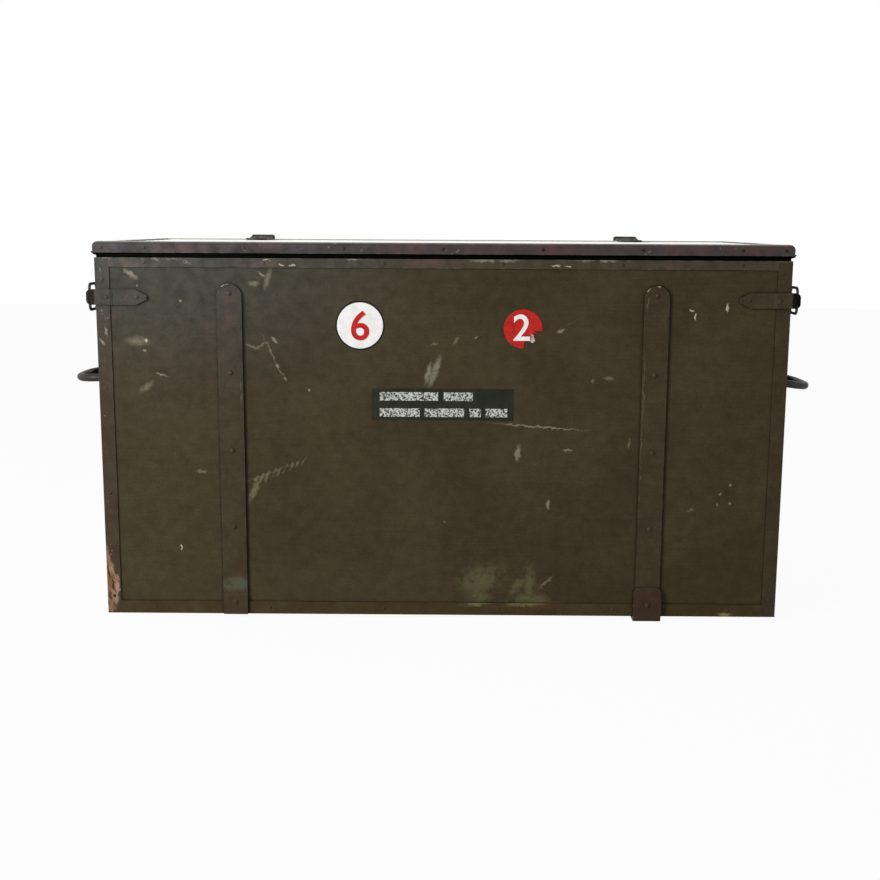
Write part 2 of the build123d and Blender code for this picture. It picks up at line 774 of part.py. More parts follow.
# Rivets of the front straps and of the runners' turned-up ends
strap_seat = front_panel_y - strap_thickness
panel_grip = strap_thickness + panel_thickness
with BuildPart() as strap_rivets:
    points = [(place, z) for place in strap_places.values() for z in rivet_levels[1:]]
    set_fasteners(rivet_template(panel_grip), [(outward_plane("front", strap_seat), points)])
    foot_seat = outward_plane("front", front_y - strap_thickness)
    foot = [(strap_places["left"], rivet_levels[0])]
    set_fasteners(rivet_template(strap_thickness + wall_inset), [(foot_seat, foot)])
keep(strap_rivets, "strap_rivets")

with BuildPart() as runner_rivets:
    front_grip = runner_end_thickness + strap_thickness + wall_inset
    front_seat = outward_plane("front", runner_front - runner_end_thickness)
    set_fasteners(rivet_template(front_grip), [(front_seat, [(strap_places["right"], rivet_levels[0])])])
    back_seat = outward_plane("back", back_y + runner_end_thickness)
    points = [(place, rivet_levels[0]) for place in strap_places.values()]
    set_fasteners(rivet_template(runner_end_thickness + wall_inset), [(back_seat, points)])
keep(runner_rivets, "runner_rivets")

# Rivets of the hinge straps, the hinge leaves and the handle plates
with BuildPart() as hinge_rivets:
    points = [(place, z) for place in hinge_places.values() for z in hinge_rivet_levels]
    seat = outward_plane("back", back_panel_y + strap_thickness)
    set_fasteners(rivet_template(panel_grip), [(seat, points)])
keep(hinge_rivets, "hinge_rivets")

with BuildPart() as leaf_rivets:
    for rivet_y, seat in ((rim_rivet_y, lid_top), (board_rivet_y, lid_top - rim_thickness)):
        points = [(place, rivet_y) for place in hinge_places.values()]
        grip = seat + leaf_thickness - lid_bottom
        set_fasteners(rivet_template(grip), [(Plane.XY.offset(seat + leaf_thickness), points)])
keep(leaf_rivets, "leaf_rivets")

with BuildPart() as handle_rivets:
    for end, sign in ends.items():
        seat = outward_plane(end, sign * (panel_x + handle_plate_thickness))
        points = [(sign * y, z) for y, z in handle_rivet_points]
        set_fasteners(rivet_template(handle_plate_thickness + panel_thickness), [(seat, points)])
keep(handle_rivets, "handle_rivets")

# Domed screws of the corner straps, two through the front leg and one through the tail
with BuildPart() as corner_strap_screws:
    screw = pin_template(corner_screw_radius, corner_screw_dome, corner_screw_shank, corner_screw_length)
    for sign in ends.values():
        for face, facing in faces.items():
            wall = front_y if face == "front" else back_y
            near_seat = outward_plane(face, wall + facing * corner_strap_thickness)
            far_seat = outward_plane(face, wall + facing * (corner_strap_thickness - angle_thickness))
            near_x = half_length - corner_screw_near
            set_fasteners(screw, [
                (near_seat, [(sign * near_x, ring_level)]),
                (far_seat, [(sign * (near_x - corner_screw_pitch), ring_level)]),
            ])
    for end, sign in ends.items():
        tail_seat = outward_plane(end, sign * (half_length + corner_strap_thickness - angle_thickness))
        tail_ys = (front_y + corner_screw_side, back_y - corner_screw_side)
        set_fasteners(screw, [(tail_seat, [(sign * y, ring_level) for y in tail_ys])])
keep(corner_strap_screws, "corner_strap_screws")

# Nails through the body's edge angles
nail = pin_template(nail_head_radius, nail_head_height, nail_shank_radius, nail_length)
upright_x = half_length - corner_angle_leg / 2
face_levels = evenly(face_nail_count, body_bottom + face_nail_foot, body_top - face_nail_drop)
end_levels = evenly(end_nail_count, body_bottom + end_nail_foot, body_top - end_nail_drop)
nail_half, nail_front, nail_back = shrink(body_outline, edge_nail_margin)
top_nail_z = body_top - top_angle_leg / 2
floor_nail_z = body_bottom + floor_angle_leg / 2
with BuildPart() as body_nails:
    for face in faces:
        wall = front_y if face == "front" else back_y
        points = [(sign * upright_x, z) for sign in (-1, 1) for z in face_levels]
        row = evenly(long_nail_count, -nail_half, nail_half)
        points += [(x, z) for x in row for z in (top_nail_z, floor_nail_z)]
        set_fasteners(nail, [(outward_plane(face, wall), points)])
    for end, sign in ends.items():
        upright_ys = (front_y + corner_angle_leg / 2, back_y - corner_angle_leg / 2)
        points = [(sign * y, z) for y in upright_ys for z in end_levels]
        row = evenly(short_nail_count, nail_front, nail_back)
        points += [(sign * y, z) for y in row for z in (top_nail_z, floor_nail_z)]
        set_fasteners(nail, [(outward_plane(end, sign * half_length), points)])
keep(body_nails, "body_nails")

# Nails through the lid's rims
lid_half, lid_front, lid_back = lid_outline
rim_nail_z = lid_bottom + lid_board_thickness / 2
with BuildPart() as lid_nails:
    row_end = lid_half - lid_long_nail_margin
    corner_nail = lid_half - lid_corner_nail_margin
    long_row = evenly(lid_long_nail_count, -row_end, row_end) + [-corner_nail, corner_nail]
    short_front, short_back = lid_front + lid_short_nail_margin, lid_back - lid_short_nail_margin
    short_row = evenly(lid_short_nail_count, short_front, short_back)
    for face, wall in (("front", lid_front), ("back", lid_back)):
        set_fasteners(nail, [(outward_plane(face, wall), [(x, rim_nail_z) for x in long_row])])
    for end, sign in ends.items():
        points = [(sign * y, rim_nail_z) for y in short_row]
        set_fasteners(nail, [(outward_plane(end, sign * lid_half), points)])
keep(lid_nails, "lid_nails")

# Screws up through the battens and the runners
batten_half, batten_front, batten_back = shrink(batten_outline, batten_width / 2)
with BuildPart() as batten_screws:
    screw_end = batten_outline[0] - batten_screw_margin
    long_row = evenly(batten_screw_count, -screw_end, screw_end)
    points = [(x, -y) for x in long_row for y in (batten_front, batten_back)]
    side_front, side_back = shrink(batten_outline, side_batten_screw_margin)[1:]
    side_row = evenly(side_batten_screw_count, side_front, side_back)
    points += [(x, -y) for x in (-batten_half, batten_half) for y in side_row]
    seat = Plane(origin=(0, 0, lid_bottom - batten_height), x_dir=(1, 0, 0), z_dir=(0, 0, -1))
    set_fasteners(countersunk_template(batten_height + batten_screw_bite), [(seat, points)])
keep(batten_screws, "batten_screws")

with BuildPart() as runner_screws:
    points = [(x, -middle_y - y) for x in strap_places.values() for y in runner_screw_places]
    seat = Plane(origin=(0, 0, 0), x_dir=(1, 0, 0), z_dir=(0, 0, -1))
    set_fasteners(countersunk_template(runner_screw_length), [(seat, points)])
keep(runner_screws, "runner_screws")
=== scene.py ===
import json
from math import atan2, hypot, radians, sin, cos

import bpy
import numpy as np
from mathutils import Matrix, Vector

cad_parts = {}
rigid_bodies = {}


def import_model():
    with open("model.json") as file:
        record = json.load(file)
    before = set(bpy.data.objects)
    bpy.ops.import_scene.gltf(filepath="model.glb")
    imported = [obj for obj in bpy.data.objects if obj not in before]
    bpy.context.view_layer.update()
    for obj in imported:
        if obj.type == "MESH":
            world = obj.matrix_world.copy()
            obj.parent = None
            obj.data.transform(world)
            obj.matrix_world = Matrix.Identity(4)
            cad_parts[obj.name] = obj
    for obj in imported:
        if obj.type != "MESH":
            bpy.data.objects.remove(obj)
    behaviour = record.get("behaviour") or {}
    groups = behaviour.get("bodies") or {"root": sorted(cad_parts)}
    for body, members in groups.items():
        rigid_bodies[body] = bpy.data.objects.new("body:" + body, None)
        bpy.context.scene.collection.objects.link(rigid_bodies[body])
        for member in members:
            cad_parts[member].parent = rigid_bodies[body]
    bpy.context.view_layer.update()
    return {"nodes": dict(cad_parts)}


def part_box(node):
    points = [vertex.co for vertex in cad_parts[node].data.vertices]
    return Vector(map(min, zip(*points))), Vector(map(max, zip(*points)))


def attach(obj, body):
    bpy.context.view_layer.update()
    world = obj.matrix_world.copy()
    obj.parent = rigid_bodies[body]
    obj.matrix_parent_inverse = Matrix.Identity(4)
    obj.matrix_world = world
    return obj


# An army trunk of plywood and steel, painted olive brown and long used. Metres, Z up, the front at -Y.
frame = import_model()
nodes = frame["nodes"]


# The five boards of the box
# Birch plywood, primed red brown and painted olive brown outside by brush, left bare inside.
# Knocks have gone through the paint, and other crates have rubbed off pale and straw streaks on it.
smooth = {"interpolation_type": "SMOOTHSTEP"}
# The paint has kept its gloss and a darker tone about this corner, and loses them over this reach.
glossy_corner, glossy_reach = (-0.36, -0.175, 0.47), (0.5, 0.6, 0.27)


def linear(code):
    """The linear colour of an sRGB hex code: channel c becomes ((c + 0.055) / 1.055) to the power 2.4."""
    channels = [int(code[i:i + 2], 16) / 255 for i in (1, 3, 5)]
    return tuple(c / 12.92 if c <= 0.04045 else ((c + 0.055) / 1.055) ** 2.4 for c in channels) + (1.0,)


def add(tree, kind, inputs, out=0, **settings):
    """A node of that kind with its settings made and its inputs set or linked; gives back one output.

    An input goes by its name or by its place on the node. A MapRange maps 1 and 2 to 3 and 4, a Mapping
    has its place in 1, its turn in 2 and its size in 3, and a MixRGB mixes 2 into 1 by the share 0.
    """
    node = tree.nodes.new("ShaderNode" + kind)
    for key, value in settings.items():
        setattr(node, key, value)
    for key, value in inputs.items():
        if isinstance(value, bpy.types.NodeSocket):
            tree.links.new(value, node.inputs[key])
        else:
            node.inputs[key].default_value = value
    return node.outputs[out]


def cloud(tree, place, size_mm, detail, stretch=(1, 1, 1), offset=0.0):
    """Noise from 0 to 1 whose lumps are about size_mm across, drawn out by stretch along X, Y and Z."""
    at = add(tree, "Mapping", {0: place, 1: (offset, offset, offset), 3: tuple(1 / s for s in stretch)})
    noise = {"Vector": at, "Scale": 1000 / size_mm, "Detail": detail, "Roughness": 0.6}
    return add(tree, "TexNoise", noise)


def rubbed(tree, place, marks, soft, plane):
    """1 inside any mark and 0 outside: each is an ellipse about the line from one point to the other.

    A mark is ((a, b), (a, b), r) in millimetres on the plane; soft is the share of its size that fades.
    The ellipse is a little fuller than the line with its radius, so that it covers as much. The least
    distance so far rides along, scaled to nothing, on the axis that the plane leaves out.
    """
    across, up, spare = {"xz": (0, 2, 1), "yz": (1, 2, 0), "xy": (0, 1, 2)}[plane]
    fuller, endless = 1.15, 1e6
    first = add(tree, "SeparateXYZ", {0: place}, out=across)
    second = add(tree, "SeparateXYZ", {0: place}, out=up)
    nearest = 1000.0
    for (a0, b0), (a1, b1), r in marks:
        half = (hypot(a1 - a0, b1 - b0) / 2 + r) * fuller / 1000
        turn = atan2(b1 - b0, a1 - a0)
        middle = ((a0 + a1) / 2000, (b0 + b1) / 2000)
        width = fuller * r / 1000
        spot, angle, size = {
            "xz": ((middle[0], 0, middle[1]), (0, -turn, 0), (half, endless, width)),
            "yz": ((0, *middle), (turn, 0, 0), (endless, half, width)),
            "xy": ((*middle, 0), (0, 0, turn), (half, width, endless)),
        }[plane]
        here = add(tree, "CombineXYZ", {across: first, up: second, spare: nearest})
        local = add(tree, "Mapping", {0: here, 1: spot, 2: angle, 3: size}, vector_type="TEXTURE")
        far = add(tree, "VectorMath", {0: local}, out=1, operation="LENGTH")
        nearest = add(tree, "Math", {0: nearest, 1: far}, operation="MINIMUM")
    return add(tree, "MapRange", {0: nearest, 1: 1 + soft, 2: 1 - soft}, **smooth)


class Surface:
    """A worn material, mostly brushed paint on primer, built up in coats: start, marks, then finish."""

    def __init__(
        self, name, coat, dull, seed, lumps=130.0, gloss=(0.04, 0.34), fresh=None, rough=(0.46, 0.64)
    ):
        """Two tones in lumps that many mm across, then a mottle, a fine grain and brush lines.

        Gloss and roughness each go from a first value to a second. The gloss rises to its second at the
        glossy corner, where a fresh tone shows too if there is one. Edges of marks shake by up to 4 mm.
        """
        self.material = bpy.data.materials.new(name)
        self.material.use_nodes = True
        self.tree = tree = self.material.node_tree
        self.shader = tree.nodes["Principled BSDF"]
        self.seed = seed
        self.place = place = add(tree, "TexCoord", {}, out=3)
        shake = add(tree, "TexNoise", {"Vector": place, "Scale": 1000 / 6, "Detail": 3.0}, out=1)
        shake = add(tree, "VectorMath", {0: shake, 1: (0.5, 0.5, 0.5)}, operation="SUBTRACT")
        shake = add(tree, "VectorMath", {0: shake, 3: 0.008}, operation="SCALE")
        self.ragged = add(tree, "VectorMath", {0: place, 1: shake}, operation="ADD")
        broad = cloud(tree, place, lumps, 4.0, offset=seed)
        broad = add(tree, "MapRange", {0: broad, 1: 0.36, 2: 0.66}, **smooth)
        self.mottle = cloud(tree, place, 14.0, 5.0, offset=seed + 3)
        self.grain = cloud(tree, place, 2.0, 3.0, offset=seed + 7)
        self.brush = cloud(tree, place, 2.4, 2.0, (30, 30, 1), seed + 5)
        kept = add(tree, "Mapping", {0: place, 1: glossy_corner, 3: glossy_reach}, vector_type="TEXTURE")
        kept = add(tree, "VectorMath", {0: kept}, out=1, operation="LENGTH")
        kept = add(tree, "MapRange", {0: kept, 1: 1.0, 2: 0.0}, **smooth)
        tone = add(tree, "MixRGB", {0: broad, 1: linear(coat), 2: linear(dull)})
        if fresh:
            patchy = add(tree, "MapRange", {0: self.mottle, 1: 0.3, 2: 0.7, 3: 0.95, 4: 0.65})
            patchy = add(tree, "Math", {0: kept, 1: patchy}, operation="MULTIPLY")
            tone = add(tree, "MixRGB", {0: patchy, 1: tone, 2: linear(fresh)})
        tone = add(tree, "MixRGB", {0: 0.28, 1: tone, 2: self.mottle}, blend_type="OVERLAY")
        tone = add(tree, "MixRGB", {0: 0.3, 1: tone, 2: self.grain}, blend_type="OVERLAY")
        self.colour = add(tree, "MixRGB", {0: 0.13, 1: tone, 2: self.brush}, blend_type="OVERLAY")
        self.depth = add(tree, "Math", {0: self.mottle, 1: 0.25}, operation="MULTIPLY")
        self.rough = add(tree, "MapRange", {0: self.mottle, 1: 0.3, 2: 0.7, 3: rough[0], 4: rough[1]})
        kept = add(tree, "MapRange", {0: kept, 3: gloss[0], 4: gloss[1]})
        uneven = add(tree, "MapRange", {0: self.mottle, 1: 0.3, 2: 0.7, 3: 0.7, 4: 1.3})
        self.gloss = add(tree, "Math", {0: kept, 1: uneven}, operation="MULTIPLY")

    def lay(self, share, code, depth=0.0):
        """Another colour where share is 1, sunk by depth."""
        self.colour = add(self.tree, "MixRGB", {0: share, 1: self.colour, 2: linear(code)})
        if depth:
            sunk = add(self.tree, "Math", {0: share, 1: -depth, 2: self.depth}, operation="MULTIPLY_ADD")
            self.depth = sunk

    def streaks(self, marks, code, soft, thin=0.0, plane="xz", depth=0.2, strength=1.0):
        """Rubbed or chipped marks, ragged and soft at their edges, at that strength of their colour.

        They are left only where the mottle is above thin, so that they look worn through in spots.
        """
        tree = self.tree
        share = rubbed(tree, self.ragged, marks, soft, plane)
        if thin:
            left = add(tree, "MapRange", {0: self.mottle, 1: thin - 0.14, 2: thin + 0.14}, **smooth)
            share = add(tree, "Math", {0: share, 1: left}, operation="MULTIPLY")
        if strength < 1.0:
            share = add(tree, "Math", {0: share, 1: strength}, operation="MULTIPLY")
        self.lay(share, code, depth)

    def chips(self, size_mm, above, code, depth=0.5):
        """Small chips, the middles of scattered cells, where a broad noise rises above that value."""
        tree = self.tree
        cells = add(tree, "TexVoronoi", {"Vector": self.ragged, "Scale": 1000 / (size_mm * 6)})
        where = cloud(tree, self.place, 60.0, 3.0, offset=self.seed + 11)
        spare = add(tree, "MapRange", {0: where, 1: above + 0.12, 2: above - 0.02}, **smooth)
        near = add(tree, "Math", {0: cells, 1: spare}, operation="ADD")
        self.lay(add(tree, "MapRange", {0: near, 1: 0.2, 2: 0.12}, **smooth), code, depth)

    def scratches(self, code, amount, turn, plane="xz"):
        """Fine long scratches: noise drawn out seventy times along a slant, kept where it peaks."""
        tree = self.tree
        axis = {"xz": (0, turn, 0), "yz": (turn, 0, 0), "xy": (0, 0, turn)}[plane]
        drawn = (70, 1, 70) if plane == "xy" else (70, 70, 1)
        slant = add(tree, "Mapping", {0: self.place, 2: axis})
        hair = cloud(tree, slant, 1.6, 1.0, drawn, self.seed)
        where = cloud(tree, self.place, 45.0, 3.0, offset=self.seed + 17)
        hair = add(tree, "MapRange", {0: hair, 1: 0.7, 2: 0.78}, **smooth)
        where = add(tree, "MapRange", {0: where, 1: 1 - amount, 2: 1.12 - amount}, **smooth)
        self.lay(add(tree, "Math", {0: hair, 1: where}, operation="MULTIPLY"), code, 0.15)

    def edges(self, width_mm, code, under, above=0.42):
        """Wear along edges, where a normal taken round a small bevel leaves the face's own.

        It shows where the mottle is above that value, with spots of a second colour from under it.
        """
        tree = self.tree
        rounded = add(tree, "Bevel", {"Radius": width_mm / 1000}, samples=6)
        own = add(tree, "NewGeometry", {}, out=3)
        same = add(tree, "VectorMath", {0: rounded, 1: own}, out=1, operation="DOT_PRODUCT")
        edge = add(tree, "MapRange", {0: same, 1: 0.985, 2: 0.86}, **smooth)
        worn = add(tree, "MapRange", {0: self.mottle, 1: above, 2: above + 0.16}, **smooth)
        worn = add(tree, "Math", {0: edge, 1: worn}, operation="MULTIPLY")
        self.lay(worn, code, 0.3)
        bare = add(tree, "MapRange", {0: self.grain, 1: 0.5, 2: 0.62}, **smooth)
        self.lay(add(tree, "Math", {0: worn, 1: bare}, operation="MULTIPLY"), under, 0.2)

    def dirt_and_painted_shade(self, code, reach_mm, strength):
        """Dirt with painted shade: darker in corners and beside whatever is fixed on the surface, by how
        closed in each point is.
        """
        tree = self.tree
        sky = add(tree, "AmbientOcclusion", {"Distance": reach_mm / 1000}, out=1, samples=6)
        self.lay(add(tree, "MapRange", {0: sky, 1: 0.95, 2: 0.45, 4: strength}, **smooth), code)

    def finish(self, bump=0.3, bump_mm=0.4):
        """Colour, roughness, gloss and relief go to the shader."""
        tree = self.tree
        fine = add(tree, "Math", {0: self.brush, 1: 0.22, 2: self.depth}, operation="MULTIPLY_ADD")
        fine = add(tree, "Math", {0: self.grain, 1: 0.12, 2: fine}, operation="MULTIPLY_ADD")
        relief = add(tree, "Bump", {"Strength": bump, "Distance": bump_mm / 1000, "Height": fine})
        tree.links.new(self.colour, self.shader.inputs["Base Color"])
        tree.links.new(self.rough, self.shader.inputs["Roughness"])
        tree.links.new(self.gloss, self.shader.inputs["Specular IOR Level"])
        tree.links.new(relief, self.shader.inputs["Normal"])
        return self.material


def dress(material, *names):
    """The material goes on each named CAD node."""
    for name in names:
        mesh = nodes[name].data
        mesh.materials.clear()
        mesh.materials.append(material)


def stray_marks(seed, count, across, up, longest):
    """Seeded short marks on a face, mostly low and slanting: ((a, b), (a, b), r) in millimetres."""
    rng = np.random.default_rng(seed)
    a = rng.uniform(*across, count)
    b = up[0] + (up[1] - up[0]) * rng.beta(1.1, 1.6, count)
    length = rng.exponential(longest / 3, count).clip(0, longest)
    turn = rng.uniform(-0.9, 1.2, count)
    r = rng.uniform(0.7, 1.6, count)
    return [
        ((x, z), (x + n * cos(t), z + n * sin(t)), s)
        for x, z, n, t, s in zip(a.tolist(), b.tolist(), length.tolist(), turn.tolist(), r.tolist())
    ]


olive, olive_dull = "#443C2B", "#3D3526"
primer_red = "#46322A"
pale_chip, straw_rub, green_rub, rust_spot = "#85806E", "#6C6752", "#5E5D42", "#4E322A"
# Near black for dirt and for painted shade in corners and beside fixed parts.
crevice_dirt_and_shade, edge_dirt_and_shade = "#14110C", "#17140F"
fresh_green = "#2A2C26"
scratch_tone = "#575038"
birch, birch_dark = "#A98A62", "#83653F"

# Marks on the front, in millimetres right of its middle and up from the ground.
pale_marks = [
    ((-381, 433), (-373, 428), 2.6), ((-370, 416), (-370, 416), 0.9), ((-361, 350), (-361, 350), 1.5),
    ((-363, 338), (-363, 338), 1.5), ((-318, 399), (-318, 399), 1.8), ((-347, 310), (-339, 307), 1),
    ((-221, 432), (-217, 429), 1.2), ((-206, 353), (-203, 350), 1.4), ((-201, 320), (-201, 320), 1.6),
    ((-192, 304), (-192, 304), 1.6), ((-163, 291), (-163, 291), 1.3), ((141, 364), (145, 366), 1.3),
    ((40, 356), (40, 356), 1.3), ((300, 391), (302, 390), 0.9), ((305, 385), (306, 381), 1.2),
    ((344, 396), (344, 391), 1.3), ((132, 152), (132, 147), 1.8), ((151, 218), (158, 218), 0.9),
    ((94, 218), (93, 209), 2.6), ((-325, 93), (-325, 89), 0.8), ((3, 126), (3, 126), 0.9),
    ((357, 175), (357, 175), 1.4), ((345, 163), (345, 163), 1), ((342, 150), (342, 150), 1.4),
    ((358, 152), (358, 152), 1.5), ((77, 250), (158, 244), 0.8), ((-19, 305), (-16, 319), 2.4),
    ((-13, 304), (-6, 325), 3.2),
]
straw_marks = [
    ((-377, 350), (-365, 349), 4.2), ((-214, 419), (-209, 434), 2.2), ((-232, 420), (-226, 420), 1.8),
    ((-238, 345), (-227, 342), 1.1), ((-227, 342), (-215, 348), 1.2), ((-215, 349), (-201, 319), 0.8),
    ((-201, 319), (-192, 304), 0.8), ((-237, 156), (-229, 172), 3), ((-237, 178), (-199, 192), 1),
    ((-13, 347), (-8, 348), 1.2), ((14, 350), (17, 355), 1.6), ((183, 304), (183, 304), 2),
    ((200, 307), (206, 307), 1.8), ((307, 143), (312, 144), 1), ((-366, 291), (-358, 296), 3),
    ((-301, 188), (-294, 188), 1.5), ((125, 43), (137, 55), 1.2), ((231, 231), (230, 222), 0.9),
]
# Nine short strokes beside each other, which climb to the right and get thinner.
straw_marks += [
    ((-233.0 + 7.5 * k, 173.0 + 3.2 * k), (-229.5 + 7.5 * k, 180.5 + 3.0 * k), 1.7 - 0.12 * k)
    for k in range(9)
]
green_marks = [
    ((41, 50), (58, 55), 13), ((42, 32), (52, 32), 7), ((100, 28), (124, 27), 5),
    ((102, 22), (145, 21), 2), ((107, 62), (90, 36), 4), ((110, 58), (113, 34), 6),
]
rust_marks = [
    ((-399, 379), (-399, 379), 1.6), ((-284, 299), (-284, 299), 2), ((-271, 299), (-265, 298), 1.5),
    ((-207, 216), (-207, 216), 1.3), ((-288, 383), (-288, 383), 1.2), ((-287, 368), (-287, 368), 1.6),
]
bright_marks = [
    ((344, 396), (344, 391), 1.3), ((305, 385), (306, 381), 1), ((300, 391), (302, 390), 0.8),
    ((-361, 350), (-361, 350), 1.5), ((-325, 93), (-325, 89), 0.8),
]

# Inside the box the birch is bare, from a little within the face of each wall.
panel_front, wall_front = (corner[1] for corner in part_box("front_panel"))
wall_back, wall_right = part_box("back_panel")[0][1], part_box("right_end_panel")[0][0]
box_middle = (0, (wall_front + wall_back) / 2, 0)
into_wood = 0.001
half_length, half_depth = wall_right + into_wood, (wall_back - wall_front) / 2 + into_wood
level_grain, floor_grain = (60, 60, 1), (60, 1, 60)


def bare_birch(tree, place, grain, offset=0.0):
    """The colour of peeled birch: pale wood with darker lines 3 mm apart, drawn out along its grain."""
    lines = cloud(tree, place, 3.0, 4.0, grain, offset)
    lines = add(tree, "MapRange", {0: lines, 1: 0.35, 2: 0.68}, **smooth)
    return add(tree, "MixRGB", {0: lines, 1: linear(birch), 2: linear(birch_dark)})


def bare_inside(paint, grain):
    """Unpainted birch where the board looks into the box: nearer its middle than the walls' faces."""
    tree = paint.tree
    off = add(tree, "VectorMath", {0: paint.place, 1: box_middle}, operation="SUBTRACT")
    reach = add(tree, "VectorMath", {0: off}, operation="ABSOLUTE")
    x = add(tree, "SeparateXYZ", {0: reach}, out=0)
    y = add(tree, "SeparateXYZ", {0: reach}, out=1)
    x = add(tree, "Math", {0: x, 1: half_length}, operation="LESS_THAN")
    y = add(tree, "Math", {0: y, 1: half_depth}, operation="LESS_THAN")
    inside = add(tree, "Math", {0: x, 1: y}, operation="MULTIPLY")
    wood = bare_birch(tree, paint.place, grain, paint.seed)
    wood = add(tree, "MixRGB", {0: 0.6, 1: wood, 2: paint.mottle}, blend_type="OVERLAY")
    paint.colour = add(tree, "MixRGB", {0: inside, 1: paint.colour, 2: wood})


front_face = Surface("painted_birch_plywood_front", olive, olive_dull, 0.0, fresh=fresh_green)
front_face.chips(1.4, 0.62, primer_red, 0.4)
front_face.scratches(scratch_tone, 0.42, 0.5)
front_face.streaks(green_marks, green_rub, 0.8, 0.42, depth=0.0, strength=0.8)
front_face.streaks(straw_marks, straw_rub, 0.65, 0.4, strength=0.9)
front_face.streaks(pale_marks, pale_chip, 0.6, 0.3, strength=0.85)
front_face.streaks(bright_marks, "#B4AE9C", 0.4)
front_face.streaks(rust_marks, rust_spot, 0.5)

# A dark ring round the left marker disc: glue that crept out and gathered dirt, and a painted shadow of
# the disc's edge.
left_disc, left_disc_radius = (-0.1004, 0.3699), 0.0279
glue_and_shadow_radius, glue_and_shadow_half_width = left_disc_radius + 0.0012, 0.0009
disc_middle = (left_disc[0], panel_front, left_disc[1])
off_disc = add(
    front_face.tree, "VectorMath", {0: front_face.place, 1: disc_middle}, out=1, operation="DISTANCE"
)
glue_and_shadow_ring = add(
    front_face.tree, "Math", {0: off_disc, 1: glue_and_shadow_radius, 2: glue_and_shadow_half_width}, operation="COMPARE"
)
front_face.lay(glue_and_shadow_ring, "#1E1A13")
# Painted shade and dirt in the front's corners and beside the straps, angles and discs.
front_face.dirt_and_painted_shade(crevice_dirt_and_shade, 5.0, 0.75)
bare_inside(front_face, level_grain)
dress(front_face.finish(), "front_panel")

# The other faces have only seeded wear, from above the floor angle to below the top angle.
between_angles = (20, 430)
other_faces = (
    ("back_panel", "painted_birch_plywood_back", "xz", (-400, 400), 1.9),
    ("left_end_panel", "painted_birch_plywood_left", "yz", (-160, 150), 3.7),
    ("right_end_panel", "painted_birch_plywood_right", "yz", (-160, 150), 5.3),
)
for node, name, plane, across, seed in other_faces:
    face = Surface(name, olive, olive_dull, seed, gloss=(0.16, 0.4))
    face.chips(1.4, 0.6, primer_red, 0.4)
    face.scratches(scratch_tone, 0.45, 0.4, plane)
    rubs = stray_marks(int(seed * 10), 11, across, between_angles, 40.0)
    face.streaks(rubs, straw_rub, 0.6, 0.42, plane, strength=0.7)
    knocks = stray_marks(int(seed * 10) + 1, 10, across, between_angles, 9.0)
    face.streaks(knocks, pale_chip, 0.5, 0.3, plane, strength=0.8)
    # Painted shade and dirt in the corners of the other faces.
    face.dirt_and_painted_shade(crevice_dirt_and_shade, 8.0, 0.9)
    bare_inside(face, level_grain)
    dress(face.finish(), node)

floor_wood = Surface("bare_birch_plywood_floor", "#8E744F", "#7A6243", 8.1, gloss=(0.3, 0.3))
bare_inside(floor_wood, floor_grain)
dress(floor_wood.finish(), "floor_board")


# Steel angles round the box, and their nails
# Thin rolled steel, bent square, nailed through small holes and painted with the boards. The
# paint has chipped off the bend to red primer, and dark rust shows where the steel is bare.
steel_gloss = (0.04, 0.42)
chip_primer, bend_rust = "#4A342B", "#33281F"
left_edge = Surface("painted_steel_angle_left", "#453D2E", "#423429", 2.2, 30.0, steel_gloss, fresh_green)
left_edge.chips(1.6, 0.5, "#4B3A33")
left_edge.edges(1.2, "#5D5447", bend_rust)
left_edge.streaks([
    ((-414, 437), (-413.5, 434), 0.7), ((-410, 366), (-408, 358), 1.2),
    ((-416, 350), (-413, 346), 0.9),
], "#7E7B70", 0.7, 0.3)
left_edge.chips(1.0, 0.5, "#6F6C64", 0.2)
left_edge.streaks([
    ((-419, 78), (-416, 12), 3.6), ((-414, 62), (-410, 26), 3.8),
    ((-406, 52), (-407, 36), 1.8),
], "#9C8170", 0.3, 0.36, depth=0.5)
left_edge.streaks([
    ((-419, 74), (-416.5, 18), 2.8), ((-413.5, 56), (-411, 34), 2.6),
    ((-415, 16), (-412, 12), 2),
], "#74583C", 0.3, 0.4, depth=0.6)
left_edge.streaks([
    ((-418, 68), (-417, 52), 1), ((-412.5, 48), (-412, 38), 1),
    ((-417.5, 34), (-416.5, 24), 1.1),
], "#3A281A", 0.5, 0.4, depth=0.3)
# Painted shade and dirt beside the angle's edges.
left_edge.dirt_and_painted_shade(edge_dirt_and_shade, 5.0, 0.7)
dress(left_edge.finish(), "corner_angle_front_left")

edge_steel = Surface("painted_steel_angle", "#423A2A", "#3F3528", 4.4, 40.0, steel_gloss)
edge_steel.chips(1.6, 0.53, chip_primer)
edge_steel.edges(1.2, "#56483A", bend_rust)
# Painted shade and dirt beside the angles' edges.
edge_steel.dirt_and_painted_shade(edge_dirt_and_shade, 5.0, 0.7)
dress(
    edge_steel.finish(),
    "corner_angle_front_right", "corner_angle_back_left", "corner_angle_back_right",
    "top_angle_back", "top_angle_left", "top_angle_right",
    "floor_angle_back", "floor_angle_left", "floor_angle_right",
)

